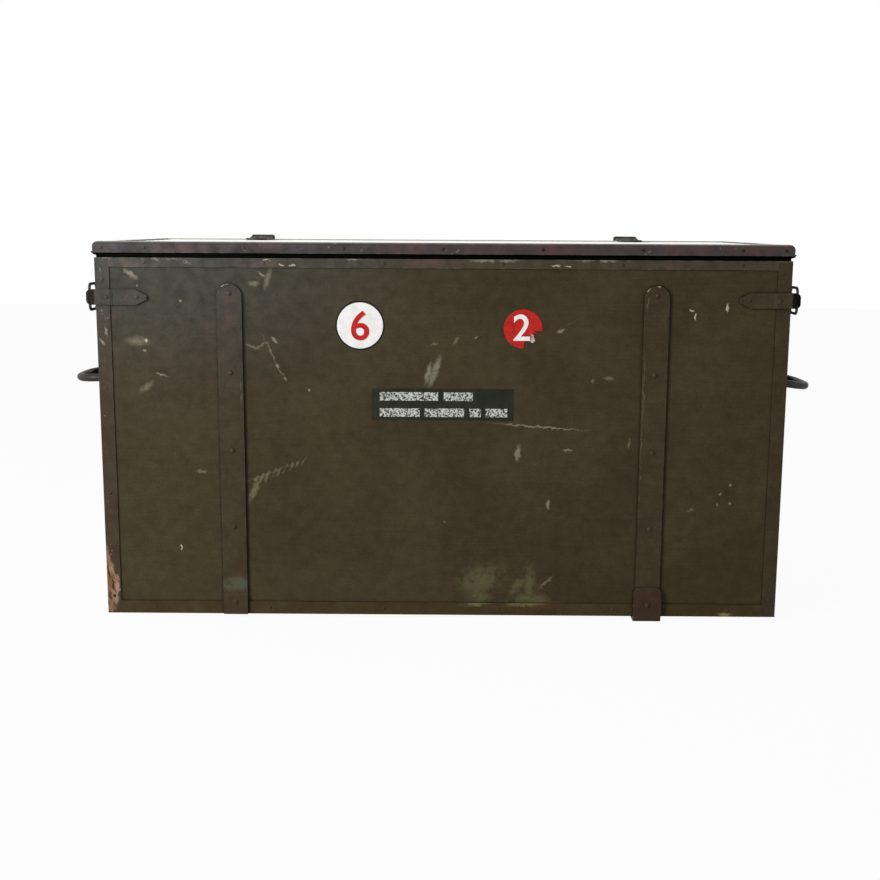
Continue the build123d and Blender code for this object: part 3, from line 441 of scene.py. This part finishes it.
top_edge = Surface("painted_steel_angle_top", "#413A2C", "#3F382D", 6.1, 30.0, (0.16, 0.5), fresh_green)
top_edge.streaks([
    ((-393, 442), (-362, 440), 4), ((-249, 443), (-201, 442.5), 3),
    ((-34, 446), (11, 446), 3.6), ((262, 443), (290, 441), 3),
], "#54403A", 0.8, 0.46, strength=0.7)
top_edge.streaks([
    ((-358, 448), (-342, 448.2), 1.4), ((-330, 448.2), (-318, 448.2), 1.2),
    ((-312, 446), (-306, 443), 1.6), ((-113.6, 449.6), (-101.6, 449.6), 1.3),
    ((40.3, 449.2), (83.8, 449.2), 1.6), ((167.2, 449.6), (214.4, 449.8), 1.5),
    ((-410, 448.5), (-402, 448.8), 1),
], "#7F7B6C", 0.6, 0.5)
top_edge.streaks([
    ((-197, 442.3), (-192.5, 441.6), 0.9), ((-184, 441.9), (-180, 441.9), 0.9),
    ((-216, 448.5), (-210.5, 448.5), 0.7), ((132.5, 443.2), (139.5, 443), 0.9),
    ((147.5, 442), (153, 441.8), 0.9),
], "#A8A18C", 0.4, 0.3)
top_edge.chips(1.8, 0.5, "#4E3A33")
top_edge.edges(1.2, "#6E685A", "#3A2C24", 0.46)
dress(top_edge.finish(), "top_angle_front")

foot_edge = Surface("painted_steel_angle_foot", "#453B29", "#40321F", 7.7, 60.0, steel_gloss)
foot_edge.streaks([((82, 17), (138, 17), 3.2)], "#53382A", 0.7, 0.42)
foot_edge.streaks([((352, 9), (361, 8.6), 2)], "#86775A", 0.5, 0.34)
foot_edge.streaks([
    ((30, 20), (52, 21.5), 2.6), ((88, 20), (121, 21.5), 2.6),
], "#6E6B4B", 0.6, 0.42)
foot_edge.chips(1.8, 0.55, chip_primer)
foot_edge.edges(1.2, "#52442F", bend_rust)
# Painted shade and dirt beside the angle's edges.
foot_edge.dirt_and_painted_shade(edge_dirt_and_shade, 5.0, 0.7)
dress(foot_edge.finish(), "floor_angle_front")

head_rust = "#33261F"
nail_paint = Surface("painted_nail_heads", "#3F3629", "#46362B", 9.2, 8.0, steel_gloss)
nail_paint.edges(0.5, "#5A4A3A", head_rust, 0.35)
dress(nail_paint.finish(), "body_nails")


# Straps, runners and their rivets
# Hot rolled flat bar with a rolled skin, drilled, riveted through the boards and painted over.
# The runners are heavier bar, whose ends turn up over the straps and take the worst knocks.
strap_steel = Surface("painted_flat_bar", "#433B2B", "#3E3629", 1.3, 40.0, steel_gloss, fresh_green)
strap_steel.streaks([
    ((-262, 372), (-259, 402), 4), ((-250, 66), (-262, 24), 5),
], "#53352A", 0.85, 0.52, strength=0.6)
# Pale chips with a painted highlight, on the upper left of each strap's round top.
strap_steel.streaks([
    ((-268, 416.5), (-264.5, 418.8), 1.2), ((-264, 419), (-258, 419.6), 0.7),
    ((245.5, 414), (248.5, 418), 1.1), ((256, 419.3), (262, 419.3), 0.6),
], "#A59D88", 0.4, 0.3)
# Lighter lines along the strap edges: rubbed paint, with a painted highlight along the right strap's left
# edge.
strap_steel.streaks([
    ((247.5, 404), (247.5, 388), 0.7), ((245, 330), (245, 262), 0.5),
    ((244.6, 236), (244.6, 150), 0.45), ((-246, 298), (-246, 276), 0.45),
], "#6A614D", 0.6, 0.5)
green_foot = [((-268, 45), (-250, 45), 7)]
strap_steel.streaks(green_foot, "#55584A", 0.5, 0.36, depth=0.0, strength=0.7)
strap_steel.chips(1.6, 0.56, chip_primer)
strap_steel.scratches("#574E38", 0.42, 1.2)
strap_steel.edges(1.1, "#5A5040", bend_rust)
# Painted shade and dirt beside the straps' edges and rivets.
strap_steel.dirt_and_painted_shade(edge_dirt_and_shade, 5.0, 0.4)
dress(
    strap_steel.finish(),
    "front_strap_left", "front_strap_right", "hinge_strap_left", "hinge_strap_right",
)

runner_steel = Surface("worn_runner_bar", "#3D3227", "#413127", 3.1, 20.0, steel_gloss)
runner_steel.chips(2.0, 0.5, "#4E362B")
runner_steel.scratches("#5C5344", 0.5, 1.4)
runner_steel.edges(1.6, "#5E4B3C", "#2F2621", 0.38)
dress(runner_steel.finish(), "runner_left", "runner_right")

rivet_paint = Surface("painted_rivet_heads", "#41382A", "#433429", 5.5, 10.0, (0.1, 0.5), fresh_green)
rivet_paint.edges(0.6, "#5C4C3C", head_rust, 0.4)
# Painted shade and dirt round the rivet heads.
rivet_paint.dirt_and_painted_shade(edge_dirt_and_shade, 2.5, 0.8)
dress(rivet_paint.finish(), "strap_rivets", "runner_rivets", "hinge_rivets", "handle_rivets")


# Hinges
# A leaf of the same flat bar riveted on the lid, one knuckle between two of the strap behind, on a
# loose steel pin whose ends are hammered over.
leaf_paint = Surface("painted_hinge_leaf", "#2C2A28", "#35302C", 6.6, 50.0, (0.3, 0.5))
leaf_paint.chips(1.8, 0.5, "#4A362D")
leaf_paint.edges(1.2, "#6A6259", "#3B2D25")
dress(leaf_paint.finish(), "hinge_leaf_left", "hinge_leaf_right", "leaf_rivets")

bare_steel = Surface("worn_dark_steel", "#2B2A29", "#3A3634", 7.3, 16.0, (0.5, 0.6))
bare_steel.chips(1.2, 0.5, "#433935", 0.3)
bare_steel.edges(1.0, "#8A8784", "#5A5653", 0.42)
bare_steel.shader.inputs["Metallic"].default_value = 0.7
dress(bare_steel.finish(0.5, 0.5), "hinge_pin_left", "hinge_pin_right")


# Corner straps and tie rings
# Flat bar bent round each upper corner and rolled into an eye, painted as far as the corner. The
# eye and the ring in it have been worn to dark steel by hooks and rope.
worn_from, worn_beyond = 0.4195, 0.4225
corner_paint = Surface("painted_corner_strap", "#423B2C", "#3F362A", 8.8, 22.0, steel_gloss, fresh_green)
corner_paint.chips(1.4, 0.52, chip_primer)
corner_paint.streaks([
    ((-383, 402), (-380, 406), 1.2), ((340, 405), (352, 404), 3),
], "#573B34", 0.6, 0.44, strength=0.6)
corner_paint.edges(1.0, "#59503F", bend_rust)
tree = corner_paint.tree
outward = add(tree, "VectorMath", {0: corner_paint.place}, operation="ABSOLUTE")
outward = add(tree, "SeparateXYZ", {0: outward})
worn_eye = add(tree, "MapRange", {0: outward, 1: worn_from, 2: worn_beyond}, **smooth)
spots = add(tree, "MapRange", {0: corner_paint.grain, 1: 0.5, 2: 0.68}, **smooth)
worn_tone = add(tree, "MixRGB", {0: spots, 1: linear("#0E0D0D"), 2: linear("#383430")})
corner_paint.colour = add(tree, "MixRGB", {0: worn_eye, 1: corner_paint.colour, 2: worn_tone})
dulled = add(tree, "MapRange", {0: worn_eye, 3: 1.0, 4: 0.3})
corner_paint.gloss = add(tree, "Math", {0: corner_paint.gloss, 1: dulled}, operation="MULTIPLY")
# Painted shade and dirt where the corner straps meet the box.
corner_paint.dirt_and_painted_shade(edge_dirt_and_shade, 4.0, 0.4)
dress(
    corner_paint.finish(),
    "corner_strap_front_left", "corner_strap_front_right", "corner_strap_back_left",
    "corner_strap_back_right", "corner_strap_screws",
)
dress(
    bare_steel.material,
    "tie_ring_front_left", "tie_ring_front_right", "tie_ring_back_left", "tie_ring_back_right",
)


# Handles
# A bail of round bar in two rolled lugs on a riveted plate. The plate is painted with the trunk;
# the bail has been gripped until its paint was gone and the steel went dark and smooth.
plate_paint = Surface("painted_handle_plate", "#443A2A", "#46362B", 9.9, 40.0, (0.25, 0.5))
plate_paint.chips(1.8, 0.5, chip_primer)
plate_paint.scratches("#6C6154", 0.5, 0.3, "yz")
plate_paint.edges(1.4, "#645443", "#3A2C24")
# Painted shade and dirt round the handle plates.
plate_paint.dirt_and_painted_shade(edge_dirt_and_shade, 6.0, 0.8)
dress(plate_paint.finish(), "handle_plate_left", "handle_plate_right")
dress(bare_steel.material, "handle_left", "handle_right")


# Lid
# One plywood board in steel angles bent round its edges, mitred and nailed at the corners. The
# angles have gone purple brown with primer and rust, and dust lies on top.
dust_grey, dust_sheen_roughness = "#8F8A80", 0.35
lid_paint = Surface(
    "painted_birch_plywood_lid", "#4B4438", "#544C40", 2.7, gloss=(0.3, 0.4), rough=(0.48, 0.64)
)
lid_paint.scratches("#7C7466", 0.5, 0.3, "xy")
lid_paint.streaks(stray_marks(41, 22, (-390, 390), (-150, 140), 60.0), "#7B725E", 0.4, 0.42, "xy")
lid_paint.chips(2.0, 0.55, primer_red)
tree = lid_paint.tree
dust = cloud(tree, lid_paint.place, 90.0, 5.0)
dust = add(tree, "MapRange", {0: dust, 1: 0.2, 2: 0.8, 3: 0.2, 4: 0.65}, **smooth)
lid_paint.lay(dust, dust_grey)
# Painted shade and dirt, in dark brown, where the lid's parts meet.
lid_paint.dirt_and_painted_shade("#2A251E", 10.0, 0.4)

# The underside is bare birch, and only the top has the pale sheen of dust seen along its surface.
lid_normal = add(tree, "TexCoord", {}, out=1)
faces_up = add(tree, "SeparateXYZ", {0: lid_normal}, out=2)
under = add(tree, "Math", {0: faces_up, 1: -0.5}, operation="LESS_THAN")
lid_wood = bare_birch(tree, lid_paint.place, floor_grain)
lid_paint.colour = add(tree, "MixRGB", {0: under, 1: lid_paint.colour, 2: lid_wood})
dusted = add(tree, "MapRange", {0: under, 3: 1.0, 4: 0.0})
tree.links.new(dusted, lid_paint.shader.inputs["Sheen Weight"])
lid_paint.shader.inputs["Sheen Roughness"].default_value = dust_sheen_roughness
dress(lid_paint.finish(), "lid_board")

rim_paint = Surface(
    "painted_lid_angle", "#3E3231", "#383133", 3.9, 24.0, (0.24, 0.5), "#2C272B", rough=(0.3, 0.48)
)
rim_paint.chips(2.4, 0.44, "#4E322F")
rim_paint.chips(1.7, 0.43, "#655C5C", 0.2)
rim_paint.streaks([
    ((-330, 462), (-300, 461), 5), ((-245, 462), (-205, 463), 4.6),
    ((-60, 461), (-20, 463), 4.4), ((120, 462), (165, 461), 4.6),
    ((270, 463), (300, 462), 5), ((350, 461), (395, 463), 4.6),
], "#50302E", 0.8, 0.48, strength=0.7)
rim_paint.scratches("#6C625C", 0.55, 0.2)
rim_paint.scratches("#1F1A1A", 0.55, -0.15)
rim_paint.edges(1.6, "#655650", "#3A2C28", 0.42)
tree = rim_paint.tree
rim_normal = add(tree, "TexCoord", {}, out=1)
faces_up = add(tree, "SeparateXYZ", {0: rim_normal}, out=2)
rim_dust = add(tree, "MapRange", {0: faces_up, 1: 0.55, 2: 0.98, 4: 0.7}, **smooth)
patchy = add(tree, "MapRange", {0: rim_paint.mottle, 1: 0.2, 2: 0.7, 3: 0.35, 4: 0.75}, **smooth)
rim_paint.lay(add(tree, "Math", {0: rim_dust, 1: patchy}, operation="MULTIPLY"), dust_grey)
tree.links.new(rim_dust, rim_paint.shader.inputs["Sheen Weight"])
rim_paint.shader.inputs["Sheen Roughness"].default_value = dust_sheen_roughness

# Pale on the side of the back angle that looks to the front: packed dust, and a painted reflection of the
# white room seen edge on.
faces_front = add(tree, "SeparateXYZ", {0: rim_normal}, out=1)
faces_front = add(tree, "MapRange", {0: faces_front, 1: -0.5, 2: -0.9}, **smooth)
rear = add(tree, "SeparateXYZ", {0: rim_paint.place}, out=1)
rear = add(tree, "MapRange", {0: rear, 1: 0.08, 2: 0.12}, **smooth)
rim_paint.lay(add(tree, "Math", {0: faces_front, 1: rear}, operation="MULTIPLY"), "#B5B1A8")
dress(rim_paint.finish(), "lid_rim_front", "lid_rim_back", "lid_rim_left", "lid_rim_right")

dark_nail = Surface("rusted_lid_nails", "#2A2320", "#33241F", 9.6, 8.0, steel_gloss)
dark_nail.edges(0.5, "#4E4039", head_rust, 0.4)
dress(dark_nail.finish(), "lid_nails")

# Strips of bare birch under the lid, dry and finely lined.
batten_wood = Surface("bare_birch_batten", "#9C7E57", "#86694A", 5.9, 50.0, (0.3, 0.3))
batten_grain = cloud(batten_wood.tree, batten_wood.place, 2.4, 4.0, (40, 40, 1))
batten_grain = add(batten_wood.tree, "MapRange", {0: batten_grain, 1: 0.5, 2: 0.7, 4: 0.6}, **smooth)
batten_wood.lay(batten_grain, birch_dark)
dress(batten_wood.finish(), "lid_batten_front", "lid_batten_back", "lid_batten_left", "lid_batten_right")

# Zinc plating gone dull, with brown spots of rust.
zinc_screw = Surface("dull_zinc_screw", "#6E6A62", "#58534A", 4.9, 6.0, (0.5, 0.5))
zinc_screw.chips(0.8, 0.5, "#6A4A36", 0.2)
zinc_screw.shader.inputs["Metallic"].default_value = 0.8
dress(zinc_screw.finish(0.3, 0.2), "batten_screws", "runner_screws")

# Sponge rubber, darkened to near black as painted shade of the gap under the lid's rim, so black and
# rough that it gives back next to no light.
seal_black_and_gap_shade = Surface("black_rubber_and_gap_shade", "#030302", "#050504", 1.1, 20.0, (0.01, 0.03))
seal_black_and_gap_shade.chips(1.2, 0.55, "#0E0C0A", 0.3)
dress(seal_black_and_gap_shade.finish(0.4, 0.4), "lid_seal")


# At both ends the rubber has been squeezed out past the box, in a thin lip that turns up.
scene_objects = bpy.context.scene.collection.objects
lip_half_thick = 0.00055
lip_front, lip_back, lip_steps = -0.1745, 0.1605, 68
wave_height, wave_from, wave_over = 0.0004, 0.4205, 0.004


def rubber_lip(name, sign):
    """The seal's squeezed edge at one end: a curve in the XZ plane, given by points, carried along Y.

    The section is the curve moved half a thickness to each side and closed round. Two sines make the lip
    wave a little where it stands out of the gap.
    """
    mid = np.array([
        (0.4135, 0.4531), (0.4175, 0.4534), (0.4200, 0.4540),
        (0.4218, 0.4550), (0.4230, 0.4562), (0.4236, 0.4573),
    ])
    along = np.gradient(mid, axis=0)
    along /= np.linalg.norm(along, axis=1, keepdims=True)
    side = np.stack([-along[:, 1], along[:, 0]], axis=1) * lip_half_thick
    loop = np.concatenate([mid + side, (mid - side)[::-1]])
    y = np.linspace(lip_front, lip_back, lip_steps)
    wave = wave_height * np.sin(y * 90) * np.sin(y * 37 + 1)
    out = np.clip((loop[:, 0] - wave_from) / wave_over, 0, 1)
    rows, ring = len(y), len(loop)
    x = np.broadcast_to(sign * loop[:, 0], (rows, ring))
    z = loop[:, 1] + wave[:, None] * out
    vertices = np.stack([x, np.broadcast_to(y[:, None], x.shape), z], axis=2).reshape(-1, 3)
    i, j = np.meshgrid(np.arange(rows - 1), np.arange(ring), indexing="ij")
    a, b = i * ring + j, i * ring + (j + 1) % ring
    quads = np.stack([a, b, b + ring, a + ring], axis=2).reshape(-1, 4)
    k = np.arange(ring // 2 - 1)
    cap = np.stack([k, ring - 1 - k, ring - 2 - k, k + 1], axis=1)
    faces = np.concatenate([quads, cap[:, ::-1], cap + (rows - 1) * ring])
    # On the left end the shape is mirrored, so its faces are turned round to point outwards.
    faces = faces if sign > 0 else faces[:, ::-1]
    mesh = bpy.data.meshes.new(name)
    mesh.from_pydata(vertices.tolist(), [], faces.tolist())
    # The lip takes the seal's near black, the painted shade of the gap.
    mesh.materials.append(seal_black_and_gap_shade.material)
    piece = bpy.data.objects.new(name, mesh)
    scene_objects.link(piece)
    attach(piece, "lid")


rubber_lip("seal_lip_left", -1)
rubber_lip("seal_lip_right", 1)


# Marker discs and label
# Two printed vinyl discs and a printed label, stuck on the front. One disc is torn at its lower
# right, down to the paper, and the label's white rows have worn to blank bars.
vinyl_thick, paper_thick, pressed_in = 0.0005, 0.0003, 0.00005


def stick(name, mesh, material):
    """The mesh becomes a piece of that material, stuck on the box."""
    mesh.materials.append(material)
    piece = bpy.data.objects.new(name, mesh)
    scene_objects.link(piece)
    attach(piece, "trunk")


def disc(name, centre, radius, edge_of, thick, material):
    """A stuck disc: a polar grid, radius times edge_of(angle), its last ring pressed on the wood."""
    rings, steps = 14, 180
    turn = np.linspace(0, 2 * np.pi, steps, endpoint=False)
    share = np.concatenate([np.linspace(0.08, 0.97, rings), [1.0, 1.0]])
    lift = np.concatenate([np.full(rings, thick), [thick * 0.7, -pressed_in]])
    reach = radius * edge_of(turn)
    x = centre[0] + share[:, None] * reach[None, :] * np.cos(turn)
    z = centre[1] + share[:, None] * reach[None, :] * np.sin(turn)
    y = np.broadcast_to((panel_front - lift)[:, None], x.shape)
    vertices = np.stack([x, y, z], axis=2).reshape(-1, 3)
    vertices = np.concatenate([vertices, [(centre[0], panel_front - thick, centre[1])]])
    i, j = np.meshgrid(np.arange(len(share) - 1), np.arange(steps), indexing="ij")
    a, b = i * steps + j, i * steps + (j + 1) % steps
    quads = np.stack([a, a + steps, b + steps, b], axis=2).reshape(-1, 4)
    j = np.arange(steps)
    fan = np.stack([np.full(steps, len(vertices) - 1), j, (j + 1) % steps], axis=1)
    mesh = bpy.data.meshes.new(name)
    mesh.from_pydata(vertices.tolist(), [], quads.tolist() + fan.tolist())
    stick(name, mesh, material)


def numeral(name, figure, centre, height, material):
    """A plain printed figure on a disc, scaled to that height, its strokes widened by an even margin."""
    curve = bpy.data.curves.new(name, "FONT")
    curve.body = figure
    curve.extrude = 0.5
    curve.offset = 0.012
    text = bpy.data.objects.new(name, curve)
    scene_objects.link(text)
    bpy.context.view_layer.update()
    mesh = bpy.data.meshes.new_from_object(text)
    bpy.data.objects.remove(text)
    at = np.empty(len(mesh.vertices) * 3)
    mesh.vertices.foreach_get("co", at)
    at = at.reshape(-1, 3)
    low, high = at.min(axis=0), at.max(axis=0)
    size = height / (high[1] - low[1])
    flat = at - (low + high) / 2
    lift = np.where(flat[:, 2] > 0, 2 * vinyl_thick, vinyl_thick)
    across, tall = centre[0] + flat[:, 0] * size, centre[1] + flat[:, 1] * size
    placed = np.stack([across, panel_front - lift, tall], axis=1)
    mesh.vertices.foreach_set("co", placed.ravel())
    mesh.update()
    stick(name, mesh, material)


def vinyl(name, code, shade, seed):
    """Printed vinyl or its backing paper: one colour, duller in lumps, with dark specks of dirt."""
    skin = Surface(name, code, shade, seed, 12.0, (0.1, 0.2))
    skin.chips(0.7, 0.56, "#4A4136", 0.1)
    skin.edges(0.6, "#8F8576", "#3A332A", 0.5)
    return skin.finish(0.12, 0.15)


white_vinyl = vinyl("white_vinyl", "#F3F3F5", "#E9E8E8", 1.7)
red_vinyl = vinyl("red_vinyl", "#C22A26", "#AC2421", 2.9)
torn_paper = vinyl("torn_backing_paper", "#C9B3AC", "#B59D94", 4.1)

disc("marker_disc_left", left_disc, left_disc_radius, np.ones_like, vinyl_thick, white_vinyl)
numeral("marker_numeral_left", "6", left_disc, 0.036, red_vinyl)


def torn_edge(turn):
    """1 all round but for a bite from about 275 to 352 degrees, jagged by sines of three lengths."""
    degrees = np.degrees(turn) % 360
    bite = np.clip(np.minimum(degrees - 272, 354 - degrees) / 5, 0, 1)
    jag = 0.09 * np.sin(turn * 11 + 2) + 0.05 * np.sin(turn * 29 + 1) + 0.03 * np.sin(turn * 83)
    return 1 - bite * (0.4 + jag)


def paper_edge(turn):
    """The backing left in the bite: nearly the whole radius at its middle, with a notch either side."""
    degrees = np.degrees(turn) % 360
    left = np.exp(-(((degrees - 310) / 15) ** 2)) * 0.35
    jag = 0.03 * np.sin(turn * 31) + 0.02 * np.sin(turn * 67)
    return 0.55 + left + jag


right_disc, right_disc_radius, right_numeral = (0.0974, 0.3670), 0.0235, (0.0958, 0.3686)
disc("marker_disc_right", right_disc, right_disc_radius, torn_edge, vinyl_thick, red_vinyl)
disc("marker_disc_paper", right_disc, right_disc_radius, paper_edge, paper_thick, torn_paper)
numeral("marker_numeral_right", "2", right_numeral, 0.032, white_vinyl)

label = Surface("worn_label_film", "#20241B", "#292A20", 3.3, 20.0, (0.1, 0.2))
bars = [
    ((-0.0768, 0.2783), (-0.0053, 0.2888)), ((0.0017, 0.2783), (0.0372, 0.2888)),
    ((-0.0768, 0.2583), (-0.0278, 0.2688)), ((-0.0218, 0.2583), (0.0267, 0.2688)),
    ((0.0332, 0.2583), (0.0472, 0.2688)), ((0.0532, 0.2583), (0.0797, 0.2688)),
]
printed = 0.0
tree = label.tree
label_x = add(tree, "SeparateXYZ", {0: label.place}, out=0)
label_z = add(tree, "SeparateXYZ", {0: label.place}, out=2)
for (x0, z0), (x1, z1) in bars:
    wide = add(tree, "Math", {0: label_x, 1: (x0 + x1) / 2, 2: (x1 - x0) / 2}, operation="COMPARE")
    tall = add(tree, "Math", {0: label_z, 1: (z0 + z1) / 2, 2: (z1 - z0) / 2}, operation="COMPARE")
    printed = add(tree, "Math", {0: wide, 1: tall, 2: printed}, operation="MULTIPLY_ADD")
worn = add(tree, "MapRange", {0: label.grain, 1: 0.4, 2: 0.56}, **smooth)
label.lay(add(tree, "Math", {0: printed, 1: worn}, operation="MULTIPLY"), "#C4C7C4")
label.edges(0.8, "#4A4638", "#3A332A", 0.5)
label_film = label.finish(0.12, 0.15)


def film(name, low, high, thick, material):
    """A stuck rectangle: a grid over its width and height whose outermost line is pressed on the wood."""
    columns, rows = 48, 12
    u = np.concatenate([[0, 0], np.linspace(0.004, 0.996, columns), [1, 1]])
    v = np.concatenate([[0, 0], np.linspace(0.02, 0.98, rows), [1, 1]])
    x = low[0] + (high[0] - low[0]) * u
    z = low[1] + (high[1] - low[1]) * v
    grid_x, grid_z = np.meshgrid(x, z, indexing="ij")
    rise = np.full(grid_x.shape, thick)
    rise[[0, -1], :] = -pressed_in
    rise[:, [0, -1]] = -pressed_in
    vertices = np.stack([grid_x, panel_front - rise, grid_z], axis=2).reshape(-1, 3)
    across, up = len(x), len(z)
    i, j = np.meshgrid(np.arange(across - 1), np.arange(up - 1), indexing="ij")
    a = i * up + j
    quads = np.stack([a, a + up, a + up + 1, a + 1], axis=2).reshape(-1, 4)
    mesh = bpy.data.meshes.new(name)
    mesh.from_pydata(vertices.tolist(), [], quads.tolist())
    stick(name, mesh, material)


label_low, label_high = (-0.0863, 0.2545), (0.0870, 0.2931)
film("blank_label", label_low, label_high, paper_thick, label_film)


# Studio: a white floor and room, one large lamp from the upper left front, and the camera
# White painted board under soft light. The camera stands in front and looks a little down, with a
# lens of 51 mm.
def white_room(tree, kind, colour_key):
    """White at strength 1, and who sees it: 1 for camera, gloss and glass rays, 0 for all others."""
    camera_ray = add(tree, "LightPath", {}, out=0)
    glossy_ray = add(tree, "LightPath", {}, out=3)
    glass_ray = add(tree, "LightPath", {}, out=6)
    seen = add(tree, "Math", {0: camera_ray, 1: glossy_ray}, operation="MAXIMUM")
    seen = add(tree, "Math", {0: seen, 1: glass_ray}, operation="MAXIMUM")
    return seen, add(tree, kind, {colour_key: (1, 1, 1, 1), "Strength": 1.0})


world = bpy.data.worlds.new("white_room")
bpy.context.scene.world = world
world.use_nodes = True
tree = world.node_tree
tree.nodes.clear()
seen, white = white_room(tree, "Background", "Color")
dim = add(tree, "Background", {"Color": (1.0, 0.99, 0.97, 1), "Strength": 0.37})
room = add(tree, "MixShader", {0: seen, 1: dim, 2: white})
tree.links.new(room, tree.nodes.new("ShaderNodeOutputWorld").inputs[0])

floor_reach = 6.0
floor_corners = [(x * floor_reach, y * floor_reach, 0) for x, y in ((-1, -1), (1, -1), (1, 1), (-1, 1))]
floor_mesh = bpy.data.meshes.new("studio_floor")
floor_mesh.from_pydata(floor_corners, [], [(0, 1, 2, 3)])
white_board = bpy.data.materials.new("white_studio_board")
white_board.use_nodes = True
tree = white_board.node_tree
tree.nodes.clear()
seen, white = white_room(tree, "Emission", "Color")
board = add(tree, "BsdfDiffuse", {"Color": (0.8, 0.8, 0.8, 1)})
glow = add(tree, "Math", {0: seen, 1: 0.95}, operation="MULTIPLY")
mixed = add(tree, "MixShader", {0: glow, 1: board, 2: white})
tree.links.new(mixed, tree.nodes.new("ShaderNodeOutputMaterial").inputs[0])
floor_mesh.materials.append(white_board)
studio_floor = bpy.data.objects.new("studio_floor", floor_mesh)
scene_objects.link(studio_floor)

key_place, key_target = Vector((-2.2, -1.85, 1.15)), Vector((0, 0, 0.25))
key_light = bpy.data.lights.new("key_lamp", "AREA")
key_light.energy = 70.0
key_light.size = 1.0
key_light.color = (1.0, 0.98, 0.95)
key_lamp = bpy.data.objects.new("key_lamp", key_light)
key_turn = (key_target - key_place).to_track_quat("-Z", "Y").to_matrix().to_4x4()
key_lamp.matrix_world = Matrix.Translation(key_place) @ key_turn
scene_objects.link(key_lamp)

camera_place = Vector((0.0042, -1.6816, 0.4902))
yaw, pitch_down, roll = radians(-0.26), radians(9.81), radians(0.32)
ahead = Vector((sin(yaw) * cos(pitch_down), cos(yaw) * cos(pitch_down), -sin(pitch_down)))
level = Vector((cos(yaw), -sin(yaw), 0))
upward = level.cross(ahead)
right = cos(roll) * level + sin(roll) * upward
up = -sin(roll) * level + cos(roll) * upward
lens = bpy.data.cameras.new("camera")
lens.sensor_width = 36.0
lens.lens = 50.79
camera = bpy.data.objects.new("camera", lens)
turned = Matrix((right, up, -ahead)).transposed().to_4x4()
camera.matrix_world = Matrix.Translation(camera_place) @ turned
scene_objects.link(camera)
bpy.context.scene.camera = camera
bpy.context.scene.view_settings.view_transform = "Standard"
